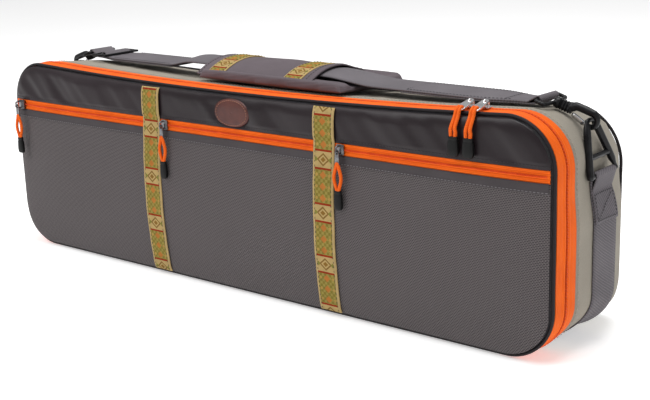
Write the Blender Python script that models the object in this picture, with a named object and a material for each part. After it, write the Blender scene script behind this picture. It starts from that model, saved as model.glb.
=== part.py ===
"""Rod case: a soft-sided case for fly rods and reels, closed and standing on its base.

Metres, +X along the case, -Y towards its front, +Z up. The origin is on the floor, under the middle of the
support webbing. The case is an outline in X and Z, carried from a front rim to a slightly smaller back rim.
Every wall, tape and lining is a ring or a sheet at its own inset from that outline.
"""

import math

import bmesh
import bpy
from mathutils import Matrix, Vector

# Driving dimensions
LENGTH = 0.800
HEIGHT = 0.245
BACK_LENGTH = 0.780
BACK_HEIGHT = 0.228
FRONT_Y = -0.0975
BACK_Y = 0.061
FRONT_RADIUS = 0.054
BACK_RADIUS = 0.060
FRONT_SAG = 0.009
BACK_SAG = 0.006
SIDE_PUFF = 0.004
TOP_PUFF = 0.003
FACE_PUFF = 0.010

PIPING = 0.003
BACK_PIPING = 0.0022
ZIP_Y = FRONT_Y + 0.020
TAPE_WIDTH = 0.017
GAP = 0.0003

# Front face
POCKET_ZIP_Z = 0.189
POCKET_ZIP_HEIGHT = 0.014
STRIP_X = 0.1313
STRIP_WIDTH = 0.029
FACE_INSET = 0.0064

# Webbing and its hardware
WEBBING_WIDTH = 0.041
WEBBING_Y = -0.0105
WEBBING = 0.0013
RING_BAR_X = 0.4035
RING_BAR_Z = 0.176
RING_BAR = 0.0022

# Shoulder strap
STRAP_SKEW = math.radians(2.2)
STRAP_MIDDLE_Y = -0.006
STRAP_Z = 0.2437
STRAP = 0.0015
STRAP_WIDTH = 0.055
STRAP_END_WIDTH = 0.034
EYE_X = 0.345
EYE_Z = 0.2468
EYE_BAR = 0.0020
GLIDE_X = -0.316
HOOK_SLOPE = math.radians(18)
PAD_TRAVEL = 0.05
PAD_START_X = -0.100
PAD_END_X = 0.125
SLEEVE_START_X = -0.104
SLEEVE_END_X = 0.074


def mix(start, end, share):
    return start + (end - start) * share


# Materials ---------------------------------------------------------------------------------------------


def material(name, colour, roughness, metallic=0.0):
    """A Principled material, made once."""
    found = bpy.data.materials.get(name)
    if found:
        return found
    made = bpy.data.materials.new(name)
    made.use_nodes = True
    shader = made.node_tree.nodes["Principled BSDF"]
    shader.inputs["Base Color"].default_value = (*colour, 1.0)
    shader.inputs["Roughness"].default_value = roughness
    shader.inputs["Metallic"].default_value = metallic
    made.diffuse_color = (*colour, 1.0)
    return made


COLOURS = {
    "sage_fabric": ((0.40, 0.38, 0.31), 0.85, 0.0),
    "charcoal_fabric": ((0.045, 0.036, 0.044), 0.6, 0.0),
    "grey_mesh": ((0.12, 0.11, 0.12), 0.8, 0.0),
    "orange_tape": ((0.90, 0.17, 0.025), 0.7, 0.0),
    "dark_piping": ((0.025, 0.02, 0.024), 0.6, 0.0),
    "grey_webbing": ((0.10, 0.092, 0.11), 0.8, 0.0),
    "jacquard": ((0.42, 0.34, 0.10), 0.85, 0.0),
    "brown_leather": ((0.14, 0.042, 0.030), 0.55, 0.0),
    "lining": ((0.09, 0.09, 0.10), 0.85, 0.0),
    "foam": ((0.12, 0.12, 0.12), 0.9, 0.0),
    "orange_cord": ((0.95, 0.20, 0.02), 0.7, 0.0),
    "black_plastic": ((0.012, 0.012, 0.013), 0.4, 0.0),
    "bright_metal": ((0.75, 0.75, 0.76), 0.25, 1.0),
    "gun_metal": ((0.08, 0.08, 0.085), 0.35, 1.0),
}


def finish_object(obj, slot):
    """Gives an object its material, and smooth shading with sharp edges kept."""
    colour, roughness, metallic = COLOURS[slot]
    obj.data.materials.append(material(slot, colour, roughness, metallic))
    if obj.type == "MESH":
        obj.data.shade_smooth()
        obj.data.set_sharp_from_angle(angle=math.radians(35))
    return obj


def mesh_object(name, slot, points, faces):
    """An object from points and faces, with its faces turned outwards."""
    mesh = bpy.data.meshes.new(name)
    work = bmesh.new()
    corners = [work.verts.new(point) for point in points]
    for face in faces:
        work.faces.new([corners[index] for index in face])
    bmesh.ops.recalc_face_normals(work, faces=work.faces)
    work.to_mesh(mesh)
    work.free()
    obj = bpy.data.objects.new(name, mesh)
    bpy.context.scene.collection.objects.link(obj)
    return finish_object(obj, slot)


# The case's outline ------------------------------------------------------------------------------------


def section(y):
    """Half length, height, corner radius and top sag of the case at depth y."""
    share = (y - FRONT_Y) / (BACK_Y - FRONT_Y)
    swell = max(0.0, 4 * share * (1 - share))
    half = mix(LENGTH / 2, BACK_LENGTH / 2, share) + SIDE_PUFF * swell
    high = mix(HEIGHT, BACK_HEIGHT, share) + TOP_PUFF * swell
    radius = mix(FRONT_RADIUS, BACK_RADIUS, share)
    return half, high, radius, mix(FRONT_SAG, BACK_SAG, share)


def top_z(x, y, inset=0.0):
    """Height of the case's top, an inset below its outline, at the straight run between its corners."""
    half, high, radius, sag = section(y)
    share = min(1.0, abs(x) / (half - radius))
    return high - inset - sag * (1 - share**2)


def outline(y, inset, corner_steps=6, top_steps=10):
    """Points (x, z) anticlockwise from the left end of the straight bottom."""
    half, high, radius, _ = section(y)
    flat = half - radius
    bend = radius - inset
    points = []
    for step in range(5):
        points.append((mix(-flat, flat, step / 4), inset))
    for step in range(1, corner_steps + 1):
        turn = math.radians(-90 + 90 * step / corner_steps)
        points.append((flat + bend * math.cos(turn), radius + bend * math.sin(turn)))
    for step in range(corner_steps + 1):
        turn = math.radians(90 * step / corner_steps)
        points.append((flat + bend * math.cos(turn), high - radius + bend * math.sin(turn)))
    for step in range(1, top_steps):
        x = mix(flat, -flat, step / top_steps)
        points.append((x, top_z(x, y, inset)))
    for step in range(corner_steps + 1):
        turn = math.radians(90 + 90 * step / corner_steps)
        points.append((-flat + bend * math.cos(turn), high - radius + bend * math.sin(turn)))
    for step in range(corner_steps):
        turn = math.radians(180 + 90 * step / corner_steps)
        points.append((-flat + bend * math.cos(turn), radius + bend * math.sin(turn)))
    return points


def ring(name, slot, sections):
    """A closed wall round the case. Each section is (y, outer inset, inner inset), front to back."""
    loops = []
    for y, outer, inner in sections:
        loops.append([(x, y, z) for x, z in outline(y, outer)])
        loops.append([(x, y, z) for x, z in outline(y, inner)])
    size = len(loops[0])
    points = [point for loop in loops for point in loop]
    faces = []
    order = [2 * index for index in range(len(sections))]
    order += [2 * index + 1 for index in reversed(range(len(sections)))]
    for place, loop in enumerate(order):
        after = order[(place + 1) % len(order)]
        for index in range(size):
            following = (index + 1) % size
            near, far = loop * size, after * size
            faces.append((near + index, near + following, far + following, far + index))
    return mesh_object(name, slot, points, faces)


def plate(name, slot, y_start, y_end, inset):
    """A flat plate that fills the outline."""
    loops = [[(x, y, z) for x, z in outline(y, inset)] for y in (y_start, y_end)]
    size = len(loops[0])
    faces = [tuple(range(size)), tuple(range(size, 2 * size))]
    for index in range(size):
        following = (index + 1) % size
        faces.append((index, following, size + following, size + index))
    return mesh_object(name, slot, loops[0] + loops[1], faces)


def ring_path(inset, y):
    return [Vector((x, y, z)) for x, z in outline(y, inset, corner_steps=7)]


def tube(name, slot, path, radius, cyclic=True, sides=2):
    """A round bar along a path, as a curve with a bevel."""
    curve = bpy.data.curves.new(name, "CURVE")
    curve.dimensions = "3D"
    spline = curve.splines.new("POLY")
    spline.points.add(len(path) - 1)
    for point, place in zip(spline.points, path):
        point.co = (*place, 1.0)
    spline.use_cyclic_u = cyclic
    curve.bevel_depth = radius
    curve.bevel_resolution = sides
    curve.use_fill_caps = not cyclic
    obj = bpy.data.objects.new(name, curve)
    bpy.context.scene.collection.objects.link(obj)
    return finish_object(obj, slot)


# Sheets on the front face ------------------------------------------------------------------------------


def face_y(x, z, lift):
    """Depth of the puffed front face, lifted towards the front."""
    along = max(0.0, 1 - (abs(x) / (LENGTH / 2 - FACE_INSET)) ** 10)
    share = min(1.0, max(0.0, z / HEIGHT))
    up = 4 * share * (1 - share) * (1.35 - 0.7 * share)
    return FRONT_Y - FACE_PUFF * along * up - lift


def face_limits(x, inset=FACE_INSET):
    """Lowest and highest z of the front face at x, an inset inside the case's outline."""
    half, high, radius, _ = section(FRONT_Y)
    beyond = abs(x) - (half - radius)
    if beyond <= 0:
        return inset, top_z(x, FRONT_Y, inset)
    drop = radius - math.sqrt(max(0.0, (radius - inset) ** 2 - beyond**2))
    return drop, high - drop


def columns(start, end, steps, bunch=False):
    """Places along X, closer together at the ends where the face curves away."""
    if not bunch:
        return [mix(start, end, step / steps) for step in range(steps + 1)]
    return [mix(start, end, 0.5 - 0.5 * math.cos(math.pi * step / steps)) for step in range(steps + 1)]


def face_sheet(name, slot, places, limits, lift, thickness, rows=6):
    """A sheet that follows the front face. Limits gives its lowest and highest z at each place."""
    points = []
    for depth in (lift + thickness, lift):
        for x in places:
            low, high = limits(x)
            for row in range(rows + 1):
                z = mix(low, high, row / rows)
                points.append((x, face_y(x, z, depth), z))
    across, up = len(places), rows + 1
    back = across * up
    faces = []
    for column in range(across - 1):
        for row in range(rows):
            corner = column * up + row
            faces.append((corner, corner + up, corner + up + 1, corner + 1))
            faces.append((back + corner, back + corner + 1, back + corner + up + 1, back + corner + up))
    for row in range(rows):
        for corner in (row, (across - 1) * up + row):
            faces.append((corner, corner + 1, back + corner + 1, back + corner))
    for column in range(across - 1):
        for corner in (column * up, column * up + rows):
            faces.append((corner, corner + up, back + corner + up, back + corner))
    return mesh_object(name, slot, points, faces)


# Ribbons and small hardware ----------------------------------------------------------------------------


def ribbon(name, slot, path, thickness, half_width, place):
    """A flat strap along a path in a vertical plane. half_width gives half its width at a point of the path."""
    sides = ([], [])
    for index, point in enumerate(path):
        before = path[max(0, index - 1)]
        after = path[min(len(path) - 1, index + 1)]
        ahead = (after - point).normalized() if after != point else (point - before).normalized()
        behind = (point - before).normalized() if before != point else ahead
        run = (ahead + behind).normalized()
        normal = Vector((-run[1], run[0]))
        stretch = 1 / max(0.5, normal.dot(Vector((-behind[1], behind[0]))))
        sides[0].append(point + normal * thickness / 2 * stretch)
        sides[1].append(point - normal * thickness / 2 * stretch)
    points = []
    for side in (-1, 1):
        for edge in sides:
            for index, (along, up) in enumerate(edge):
                points.append(place(along, side * half_width(path[index]), up))
    size = len(path)
    near_top, near_bottom, far_top, far_bottom = (size * index for index in range(4))
    faces = [
        (near_top, near_bottom, far_bottom, far_top),
        (near_top + size - 1, far_top + size - 1, far_bottom + size - 1, near_bottom + size - 1),
    ]
    pairs = (
        (near_top, near_bottom),
        (far_top, far_bottom),
        (near_top, far_top),
        (near_bottom, far_bottom),
    )
    for index in range(size - 1):
        for one, other in pairs:
            faces.append((one + index, one + index + 1, other + index + 1, other + index))
    return mesh_object(name, slot, points, faces)


def block(name, slot, low, high, bevel=0.0, turn=0.0, pivot=(0, 0, 0)):
    """A box between two corners with rounded edges, turned about an X axis through a pivot."""
    work = bmesh.new()
    bmesh.ops.create_cube(work, size=1.0)
    middle = (Vector(low) + Vector(high)) / 2
    size = Vector(high) - Vector(low)
    bmesh.ops.scale(work, vec=size, verts=work.verts)
    bmesh.ops.translate(work, vec=middle, verts=work.verts)
    if bevel:
        bmesh.ops.bevel(
            work, geom=list(work.edges), offset=bevel, segments=1, affect="EDGES", profile=0.5
        )
    if turn:
        bmesh.ops.rotate(work, cent=pivot, matrix=Matrix.Rotation(turn, 3, "X"), verts=work.verts)
    mesh = bpy.data.meshes.new(name)
    work.to_mesh(mesh)
    work.free()
    obj = bpy.data.objects.new(name, mesh)
    bpy.context.scene.collection.objects.link(obj)
    return finish_object(obj, slot)


def cylinder(name, slot, start, end, radius, sides=12):
    """A round bar between two points."""
    start, end = Vector(start), Vector(end)
    work = bmesh.new()
    bmesh.ops.create_cone(
        work, cap_ends=True, segments=sides, radius1=radius, radius2=radius, depth=(end - start).length
    )
    turn = (end - start).to_track_quat("Z", "Y").to_matrix().to_4x4()
    bmesh.ops.transform(work, matrix=Matrix.Translation((start + end) / 2) @ turn, verts=work.verts)
    mesh = bpy.data.meshes.new(name)
    work.to_mesh(mesh)
    work.free()
    obj = bpy.data.objects.new(name, mesh)
    bpy.context.scene.collection.objects.link(obj)
    return finish_object(obj, slot)


def united(obj, others):
    """Joins other solids to an object with Boolean unions, and hides them."""
    if obj.type == "CURVE":
        bpy.context.view_layer.update()
        solid = bpy.data.meshes.new_from_object(obj.evaluated_get(bpy.context.evaluated_depsgraph_get()))
        name = obj.name
        bpy.data.objects.remove(obj)
        obj = bpy.data.objects.new(name, solid)
        bpy.context.scene.collection.objects.link(obj)
    for other in others:
        if other.type == "CURVE":
            bpy.context.view_layer.update()
            graph = bpy.context.evaluated_depsgraph_get()
            solid = bpy.data.meshes.new_from_object(other.evaluated_get(graph))
            name = other.name
            bpy.data.objects.remove(other)
            other = bpy.data.objects.new(name, solid)
            bpy.context.scene.collection.objects.link(other)
        other.hide_render = True
        other.display_type = "WIRE"
        joint = obj.modifiers.new("join_" + other.name, "BOOLEAN")
        joint.operation = "UNION"
        joint.object = other
    return obj


# The body ----------------------------------------------------------------------------------------------


def build_shell():
    """Gusset, back, their stiffeners, the lining, and the half of the main zip that stays on the body."""
    tape_end = ZIP_Y + TAPE_WIDTH
    ring(
        "body_zip_tape",
        "orange_tape",
        [(ZIP_Y + GAP, 0.0014, 0.0026), (tape_end, 0.0014, 0.0026)],
    )
    back_end = BACK_Y - 0.0038
    depths = [mix(tape_end + GAP, back_end, step / 4) for step in range(5)]
    ring("gusset", "sage_fabric", [(y, 0.0020, 0.0032) for y in depths])
    ring("wall_stiffener", "foam", [(y, 0.0036, 0.0076) for y in depths])
    lining_end = 0.0479
    ring(
        "body_lining",
        "lining",
        [(y, 0.0079, 0.0089) for y in (ZIP_Y + 0.0026, depths[2], lining_end)],
    )
    plate("back_lining", "lining", lining_end + GAP, 0.0491, 0.0080)
    plate("back_stiffener", "foam", 0.0494, 0.0545, 0.0082)
    plate("back_panel", "sage_fabric", BACK_Y - 0.0034, BACK_Y - 0.0020, 0.0028)
    tube("back_piping", "dark_piping", ring_path(0.0020, BACK_Y + 0.0006), BACK_PIPING, sides=1)


def hinge_strip(name, y_start, y_end):
    """Half of the fabric hinge along the bottom, under the zip's ends."""
    half = LENGTH / 2 - FRONT_RADIUS - 0.008
    block(name, "charcoal_fabric", (-half, y_start, 0.0), (half, y_end, 0.0011))


def build_interior():
    """Padded dividers: a shelf between the rod tubes below and three reel bays above."""
    floor_y = 0.0474
    front_y = -0.058
    shelf_low, shelf_high = 0.118, 0.125
    block("long_divider", "lining", (-0.383, front_y, shelf_low), (0.383, floor_y, shelf_high), 0.0015)
    for number, x in enumerate((-0.130, 0.130), 1):
        points = []
        for side in (-0.003, 0.003):
            for y in (front_y, floor_y):
                points.append((x + side, y, shelf_high + 0.0004))
                points.append((x + side, y, top_z(x, y, 0.0096)))
        faces = [(0, 1, 3, 2), (4, 6, 7, 5), (0, 4, 5, 1), (2, 3, 7, 6), (0, 2, 6, 4), (1, 5, 7, 3)]
        mesh_object(f"short_divider_{number}", "lining", points, faces)


# The lid -----------------------------------------------------------------------------------------------


def build_lid():
    """Front cover with its stiffener and lining, mesh pockets, trim, piping and the lid's half of the zip."""
    tape_start = FRONT_Y + PIPING + GAP
    ring(
        "lid_zip_tape",
        "orange_tape",
        [(tape_start, 0.0014, 0.0026), (ZIP_Y - GAP, 0.0014, 0.0026)],
    )
    tube("front_piping", "dark_piping", ring_path(PIPING, FRONT_Y), PIPING, sides=1)
    reach = LENGTH / 2 - FACE_INSET
    wide = columns(-reach + 0.0005, reach - 0.0005, 20, bunch=True)
    face_sheet("lid_cover", "charcoal_fabric", wide, face_limits, 0.0, 0.0013)
    face_sheet("lid_stiffener", "foam", wide, face_limits, -0.0052, 0.0049)
    face_sheet("lid_lining", "lining", wide, face_limits, -0.0065, 0.0010)
    zip_low = POCKET_ZIP_Z - POCKET_ZIP_HEIGHT / 2
    zip_high = POCKET_ZIP_Z + POCKET_ZIP_HEIGHT / 2
    face_sheet("mesh_panel", "grey_mesh", wide, lambda x: (face_limits(x)[0], zip_low - GAP), 0.0019, 0.0010)
    ends = (-reach + 0.001, -STRIP_X - STRIP_WIDTH / 2, STRIP_X - STRIP_WIDTH / 2, reach - 0.001)
    starts = (ends[0], -STRIP_X + STRIP_WIDTH / 2, STRIP_X + STRIP_WIDTH / 2)
    tucked = 0.004
    runs = (
        ("pocket_zip_left", ends[0], -STRIP_X - STRIP_WIDTH / 2 + tucked),
        ("pocket_zip_middle", starts[1] - tucked, ends[2] + tucked),
        ("pocket_zip_right", starts[2] - tucked, ends[3]),
    )
    for name, start, end in runs:
        places = columns(start, end, 8, bunch=True)
        face_sheet(name, "orange_tape", places, lambda x: (zip_low, zip_high), 0.0019, 0.0014, rows=2)
    for name, x in (("trim_strip_left", -STRIP_X), ("trim_strip_right", STRIP_X)):
        places = columns(x - STRIP_WIDTH / 2, x + STRIP_WIDTH / 2, 2)
        face_sheet(name, "jacquard", places, lambda x: face_limits(x, 0.0070), 0.0037, 0.0010, rows=12)

    half_wide, half_tall, patch_z = 0.026, 0.0157, 0.2130

    def oval(x):
        tall = half_tall * math.sqrt(max(0.02, 1 - (x / half_wide) ** 2))
        return patch_z - tall, patch_z + tall

    places = columns(-half_wide * 0.995, half_wide * 0.995, 12, bunch=True)
    face_sheet("leather_patch", "brown_leather", places, oval, 0.0017, 0.0018, rows=3)


# Zip sliders and their pulls ---------------------------------------------------------------------------


def cord_loop(name, x, top, bottom, half_gap, radius):
    """The cord of a pull: a closed loop between two points in a vertical plane across the case's front."""
    path = []
    run = (bottom - top).normalized()
    for centre, start in ((top, 0), (bottom, 180)):
        for step in range(5):
            turn = math.radians(start + 45 * step)
            offset = Vector((half_gap * math.cos(turn), 0, 0)) - run * half_gap * math.sin(turn)
            path.append(centre + offset)
    return tube(name, "orange_cord", path, radius, sides=1)


def main_slider(name, x):
    """A slider on top of the main zip, with its bright tab, cord and grip hanging over the front."""
    low = top_z(x, ZIP_Y) + 0.0005
    near = (x - 0.0055, ZIP_Y - 0.005, low)
    far = (x + 0.0055, ZIP_Y + 0.005, low + 0.004)
    block(name + "_slider", "bright_metal", near, far, 0.001)
    hinge = Vector((x, ZIP_Y - 0.0030, low + 0.0060))
    slope = math.radians(14)
    length = 0.0185
    block(
        name + "_tab",
        "bright_metal",
        (x - 0.0045, hinge.y - length, hinge.z - 0.0008),
        (x + 0.0045, hinge.y + 0.0015, hinge.z + 0.0008),
        0.0004,
        slope,
        hinge,
    )
    reach = length + 0.0036
    top = Vector((x, hinge.y - reach * math.cos(slope), hinge.z - reach * math.sin(slope) - 0.0014))
    bottom = Vector((x, FRONT_Y - 0.0130, 0.2225))
    cord_loop(name + "_cord", x, top, bottom, 0.0019, 0.0011)
    block(
        name + "_grip",
        "black_plastic",
        (x - 0.0056, FRONT_Y - 0.0160, 0.1990),
        (x + 0.0056, FRONT_Y - 0.0100, 0.2190),
        0.0012,
    )


def pocket_slider(name, x, extra):
    """A dark slider on a pocket zip, with its tab, cord and grip hanging below. extra lifts it off the face."""
    back = face_y(x, POCKET_ZIP_Z, 0.0038 + extra)
    z = POCKET_ZIP_Z
    near = (x - 0.005, back - 0.004, z - 0.0055)
    block(name + "_slider", "gun_metal", near, (x + 0.005, back, z + 0.0055), 0.001)
    hang = FRONT_Y - FACE_PUFF - 0.0064
    near = (x - 0.003, hang - 0.0006, z - 0.013)
    block(name + "_tab", "gun_metal", near, (x + 0.003, hang + 0.0006, z - 0.002), 0.0003)
    top = Vector((x, hang, z - 0.0163))
    bottom = Vector((x, hang, z - 0.0400))
    cord_loop(name + "_cord", x, top, bottom, 0.0019, 0.0011)
    block(
        name + "_grip",
        "black_plastic",
        (x - 0.0045, hang - 0.0025, z - 0.0635),
        (x + 0.0045, hang + 0.0025, z - 0.0435),
        0.0012,
    )


# Support webbing and rings -----------------------------------------------------------------------------


def end_path():
    """The right half of the support webbing in X and Z: from the base up the end, and over the ring's bar."""
    half, _, radius, _ = section(WEBBING_Y)
    inset = WEBBING / 2
    path = [Vector((0.0, inset)), Vector((0.17, inset)), Vector((half - radius, inset))]
    for step in range(1, 13):
        turn = math.radians(-90 + 90 * step / 12)
        bend = radius - inset
        path.append(Vector((half - radius + bend * math.cos(turn), radius + bend * math.sin(turn))))
    round_bar = RING_BAR + 0.0004 + WEBBING / 2
    path.append(Vector((half - inset, RING_BAR_Z - 0.022)))
    for step in range(9):
        turn = math.radians(180 - 180 * step / 8)
        path.append(Vector((RING_BAR_X + round_bar * math.cos(turn), RING_BAR_Z + round_bar * math.sin(turn))))
    outside = half - inset + WEBBING + 0.0005
    path.append(Vector((outside, RING_BAR_Z - 0.020)))
    path.append(Vector((outside, RING_BAR_Z - 0.048)))
    return path


def webbing_place(x, y, z):
    """Lays the webbing on the tapering gusset, and lets it hang straight in its fold round the ring's bar."""
    y += WEBBING_Y
    half = section(WEBBING_Y)[0]
    lying = min(1.0, max(0.0, (RING_BAR_Z - 0.010 - z) / 0.016))
    spread = (section(y)[0] - half) * min(1.0, abs(x) / half) * lying
    return x + math.copysign(spread, x), y, z


def build_webbing():
    right = end_path()
    left = [Vector((-x, z)) for x, z in reversed(right[1:])]
    ribbon(
        "support_webbing",
        "grey_webbing",
        left + right,
        WEBBING,
        lambda point: WEBBING_WIDTH / 2,
        webbing_place,
    )


def hook_frame(side):
    """Origin at the eye's bar, and the directions along the hook and out of the case, for one end."""
    along_strap = Vector((math.cos(STRAP_SKEW), -math.sin(STRAP_SKEW), 0.0))
    start = Vector((0.0, STRAP_MIDDLE_Y, EYE_Z)) + along_strap * (side * EYE_X)
    along = Vector((side * math.cos(HOOK_SLOPE), 0.0, -math.sin(HOOK_SLOPE)))
    out = Vector((side * math.sin(HOOK_SLOPE), 0.0, math.cos(HOOK_SLOPE)))
    return start, along, out


def ring_top(side):
    """Middle of the bar at the top of the webbing's ring, inside the hook's nose."""
    start, along, out = hook_frame(side)
    return start + along * 0.0510 - out * 0.0030


def webbing_ring(name, side):
    """A triangular plastic ring: a bar in the webbing's fold, two legs and a short bar through the hook."""
    top = ring_top(side)
    bar = Vector((side * RING_BAR_X, WEBBING_Y, RING_BAR_Z))
    wide, narrow = 0.0255, 0.0075
    corners = (
        (-wide, 0.10),
        (-wide + 0.003, 0.0),
        (wide - 0.003, 0.0),
        (wide, 0.10),
        (narrow + 0.002, 0.90),
        (narrow - 0.003, 1.0),
        (-narrow + 0.003, 1.0),
        (-narrow - 0.002, 0.90),
    )
    path = [bar.lerp(top, share) + Vector((0, across, 0)) for across, share in corners]
    obj = tube(name, "black_plastic", path, RING_BAR, sides=1)
    middle = bar.lerp(top, 0.34)
    reach = Vector((0, 0.0200, 0))
    cross = cylinder(name + "_crossbar", "black_plastic", middle - reach, middle + reach, RING_BAR * 0.8, 8)
    return united(obj, [cross])


# Hooks -------------------------------------------------------------------------------------------------


def snap_hook(name, side):
    """Swivel eye, hook and sprung gate."""
    start, along, out = hook_frame(side)
    across = Vector((0, 1, 0))
    half = 0.0225
    path = []
    corners = ((0.0, -1), (0.0, 1), (0.0105, 1), (0.0105, -1))
    for forward, hand in corners:
        cuts = [(0.003, 0.0), (0.0, 0.003)]
        if (forward == 0.0) == (hand > 0):
            cuts.reverse()
        for cut_forward, cut_across in cuts:
            inwards = cut_forward if forward == 0.0 else -cut_forward
            path.append(start + along * (forward + inwards) + across * hand * (half - cut_across))
    eye = tube(name + "_eye", "black_plastic", path, EYE_BAR, sides=1)
    stem = 0.0045
    near, far = start + along * 0.0100, start + along * 0.0170
    collar = cylinder(name + "_collar", "black_plastic", near, far, stem)
    united(eye, [collar])

    neck_start, neck_end = 0.0174, 0.0300
    spine = []
    nose, bend, rise = 0.0515, 0.0070, 0.0045
    spine.append(start + along * (neck_end - 0.003) + out * 0.001)
    spine.append(start + along * (neck_end + 0.004) + out * rise)
    for step in range(9):
        turn = math.radians(90 - 200 * step / 8)
        centre = start + along * nose + out * (rise - bend)
        spine.append(centre + along * bend * math.cos(turn) + out * bend * math.sin(turn))
    hook = tube(name + "_hook", "black_plastic", spine, 0.0022, cyclic=False, sides=1)
    near, far = start + along * neck_start, start + along * neck_end
    neck = cylinder(name + "_neck", "black_plastic", near, far, stem)
    united(hook, [neck])

    pivot = start + along * 0.0325 - out * 0.0050
    tip = start + along * 0.0468 - out * 0.0086
    cylinder(name + "_gate", "bright_metal", pivot, tip, 0.0016, 8)


# Shoulder strap ----------------------------------------------------------------------------------------


def strap_place(along, across, up):
    """From distance along the strap and across it to the case's own axes."""
    turn = STRAP_SKEW
    return (
        along * math.cos(turn) + across * math.sin(turn),
        STRAP_MIDDLE_Y - along * math.sin(turn) + across * math.cos(turn),
        up,
    )


def strap_path():
    """One length of webbing: sewn end, right eye, across the top, over the adjuster's bar, left eye, end."""
    fold = EYE_BAR + 0.0007 + STRAP / 2
    lower = STRAP_Z - STRAP - 0.0004
    path = [Vector((0.185, lower)), Vector((EYE_X - 0.012, lower))]
    for step in range(9):
        turn = math.radians(-90 + 180 * step / 8)
        path.append(Vector((EYE_X + fold * math.cos(turn), EYE_Z + fold * math.sin(turn))))
    path.append(Vector((EYE_X - 0.012, STRAP_Z)))
    rise = 0.0053
    for offset, lift in ((0.0100, 0.0), (0.0022, rise), (-0.0022, rise), (-0.0100, 0.0)):
        path.append(Vector((GLIDE_X + offset, STRAP_Z + lift)))
    path.append(Vector((-EYE_X + 0.012, STRAP_Z)))
    for step in range(9):
        turn = math.radians(90 + 180 * step / 8)
        path.append(Vector((-EYE_X + fold * math.cos(turn), EYE_Z + fold * math.sin(turn))))
    path.append(Vector((-EYE_X + 0.012, lower)))
    path.append(Vector((-0.175, lower)))
    return path


def strap_half_width(point):
    """The strap narrows where it is gathered into an eye."""
    near = min(1.0, max(0.0, (abs(point[0]) - 0.28) / 0.05))
    return mix(STRAP_WIDTH, STRAP_END_WIDTH, near) / 2


def build_strap():
    ribbon("shoulder_strap", "grey_webbing", strap_path(), STRAP, strap_half_width, strap_place)
    frame_z = STRAP_Z + STRAP / 2 + 0.0004 + 0.0015
    half = STRAP_END_WIDTH / 2 + 0.0105
    bars = []
    for offset in (-0.0115, 0.0, 0.0115):
        low = Vector((GLIDE_X + offset - 0.0015, -half, frame_z - 0.0015))
        high = Vector((GLIDE_X + offset + 0.0015, half, frame_z + 0.0015))
        bars.append(block(f"strap_adjuster_bar_{len(bars)}", "black_plastic", low, high))
    ends = []
    for side in (-1, 1):
        low = Vector((GLIDE_X - 0.0130, side * half - 0.0020, frame_z - 0.0014))
        high = Vector((GLIDE_X + 0.0130, side * half + 0.0020, frame_z + 0.0014))
        ends.append(block(f"strap_adjuster_end_{len(ends)}", "black_plastic", low, high))
    adjuster = block(
        "strap_adjuster",
        "black_plastic",
        (GLIDE_X - 0.0013, -half, frame_z - 0.0012),
        (GLIDE_X + 0.0013, half, frame_z + 0.0012),
    )
    united(adjuster, bars + ends)
    matrix = Matrix.Translation((0, STRAP_MIDDLE_Y, 0)) @ Matrix.Rotation(-STRAP_SKEW, 4, "Z")
    for piece in [adjuster, *bars, *ends]:
        piece.matrix_world = matrix


def pad_bottom(y):
    """Height of the pad's underside: over the highest part of the top that it can slide to."""
    far = PAD_END_X + PAD_TRAVEL
    return top_z(far, y) + 0.0006


def profile_solid(name, slot, profile, start, end, steps=1):
    """A cross-section in Y and Z carried along the strap's direction."""
    points = []
    for step in range(steps + 1):
        along = mix(start, end, step / steps)
        for across, up in profile:
            points.append(strap_place(along, across, up))
    size = len(profile)
    faces = [tuple(range(size)), tuple(steps * size + index for index in range(size))]
    for step in range(steps):
        for index in range(size):
            following = (index + 1) % size
            base = step * size
            ahead = base + size
            faces.append((base + index, base + following, ahead + following, ahead + index))
    return mesh_object(name, slot, points, faces)


def sleeve_profile(lift, thickness, half_width):
    """The arch of the sleeve over the strap, sewn down on the pad at both sides."""
    crown = STRAP_Z + STRAP / 2 + 0.0005 + lift
    shoulder = STRAP_WIDTH / 2 + 0.0015
    places = (-half_width, -shoulder - 0.003, -shoulder, 0.0, shoulder, shoulder + 0.003, half_width)
    under = []
    for across in places:
        if abs(across) <= shoulder:
            up = crown
        else:
            rest = pad_bottom(STRAP_MIDDLE_Y + across) + 0.0045 + 0.0016 + lift
            share = (abs(across) - shoulder) / (half_width - shoulder)
            up = mix(crown, rest, share)
        under.append((across, up))
    over = [(across, up + thickness) for across, up in reversed(under)]
    return under + over


def build_pad():
    """Shoulder pad under the strap, and the sleeve that holds it there."""
    places = [mix(-0.056, 0.062, step / 8) for step in range(9)]
    under = [(across, pad_bottom(STRAP_MIDDLE_Y + across) + 0.0014) for across in places]
    over = [(across, up + 0.0045) for across, up in reversed(under)]
    profile_solid("shoulder_pad", "charcoal_fabric", under + over, PAD_START_X, PAD_END_X)
    half_width = 0.044
    profile = sleeve_profile(0.0, 0.0013, half_width)
    profile_solid("pad_sleeve", "charcoal_fabric", profile, SLEEVE_START_X, SLEEVE_END_X)
    middle = (SLEEVE_START_X + SLEEVE_END_X) / 2
    for name, offset in (("pad_strip_left", -0.060), ("pad_strip_right", 0.060)):
        start = middle + offset - STRIP_WIDTH / 2
        profile = sleeve_profile(0.0019, 0.0009, half_width)
        profile_solid(name, "jacquard", profile, start, start + STRIP_WIDTH)


# Assembly ----------------------------------------------------------------------------------------------


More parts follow.
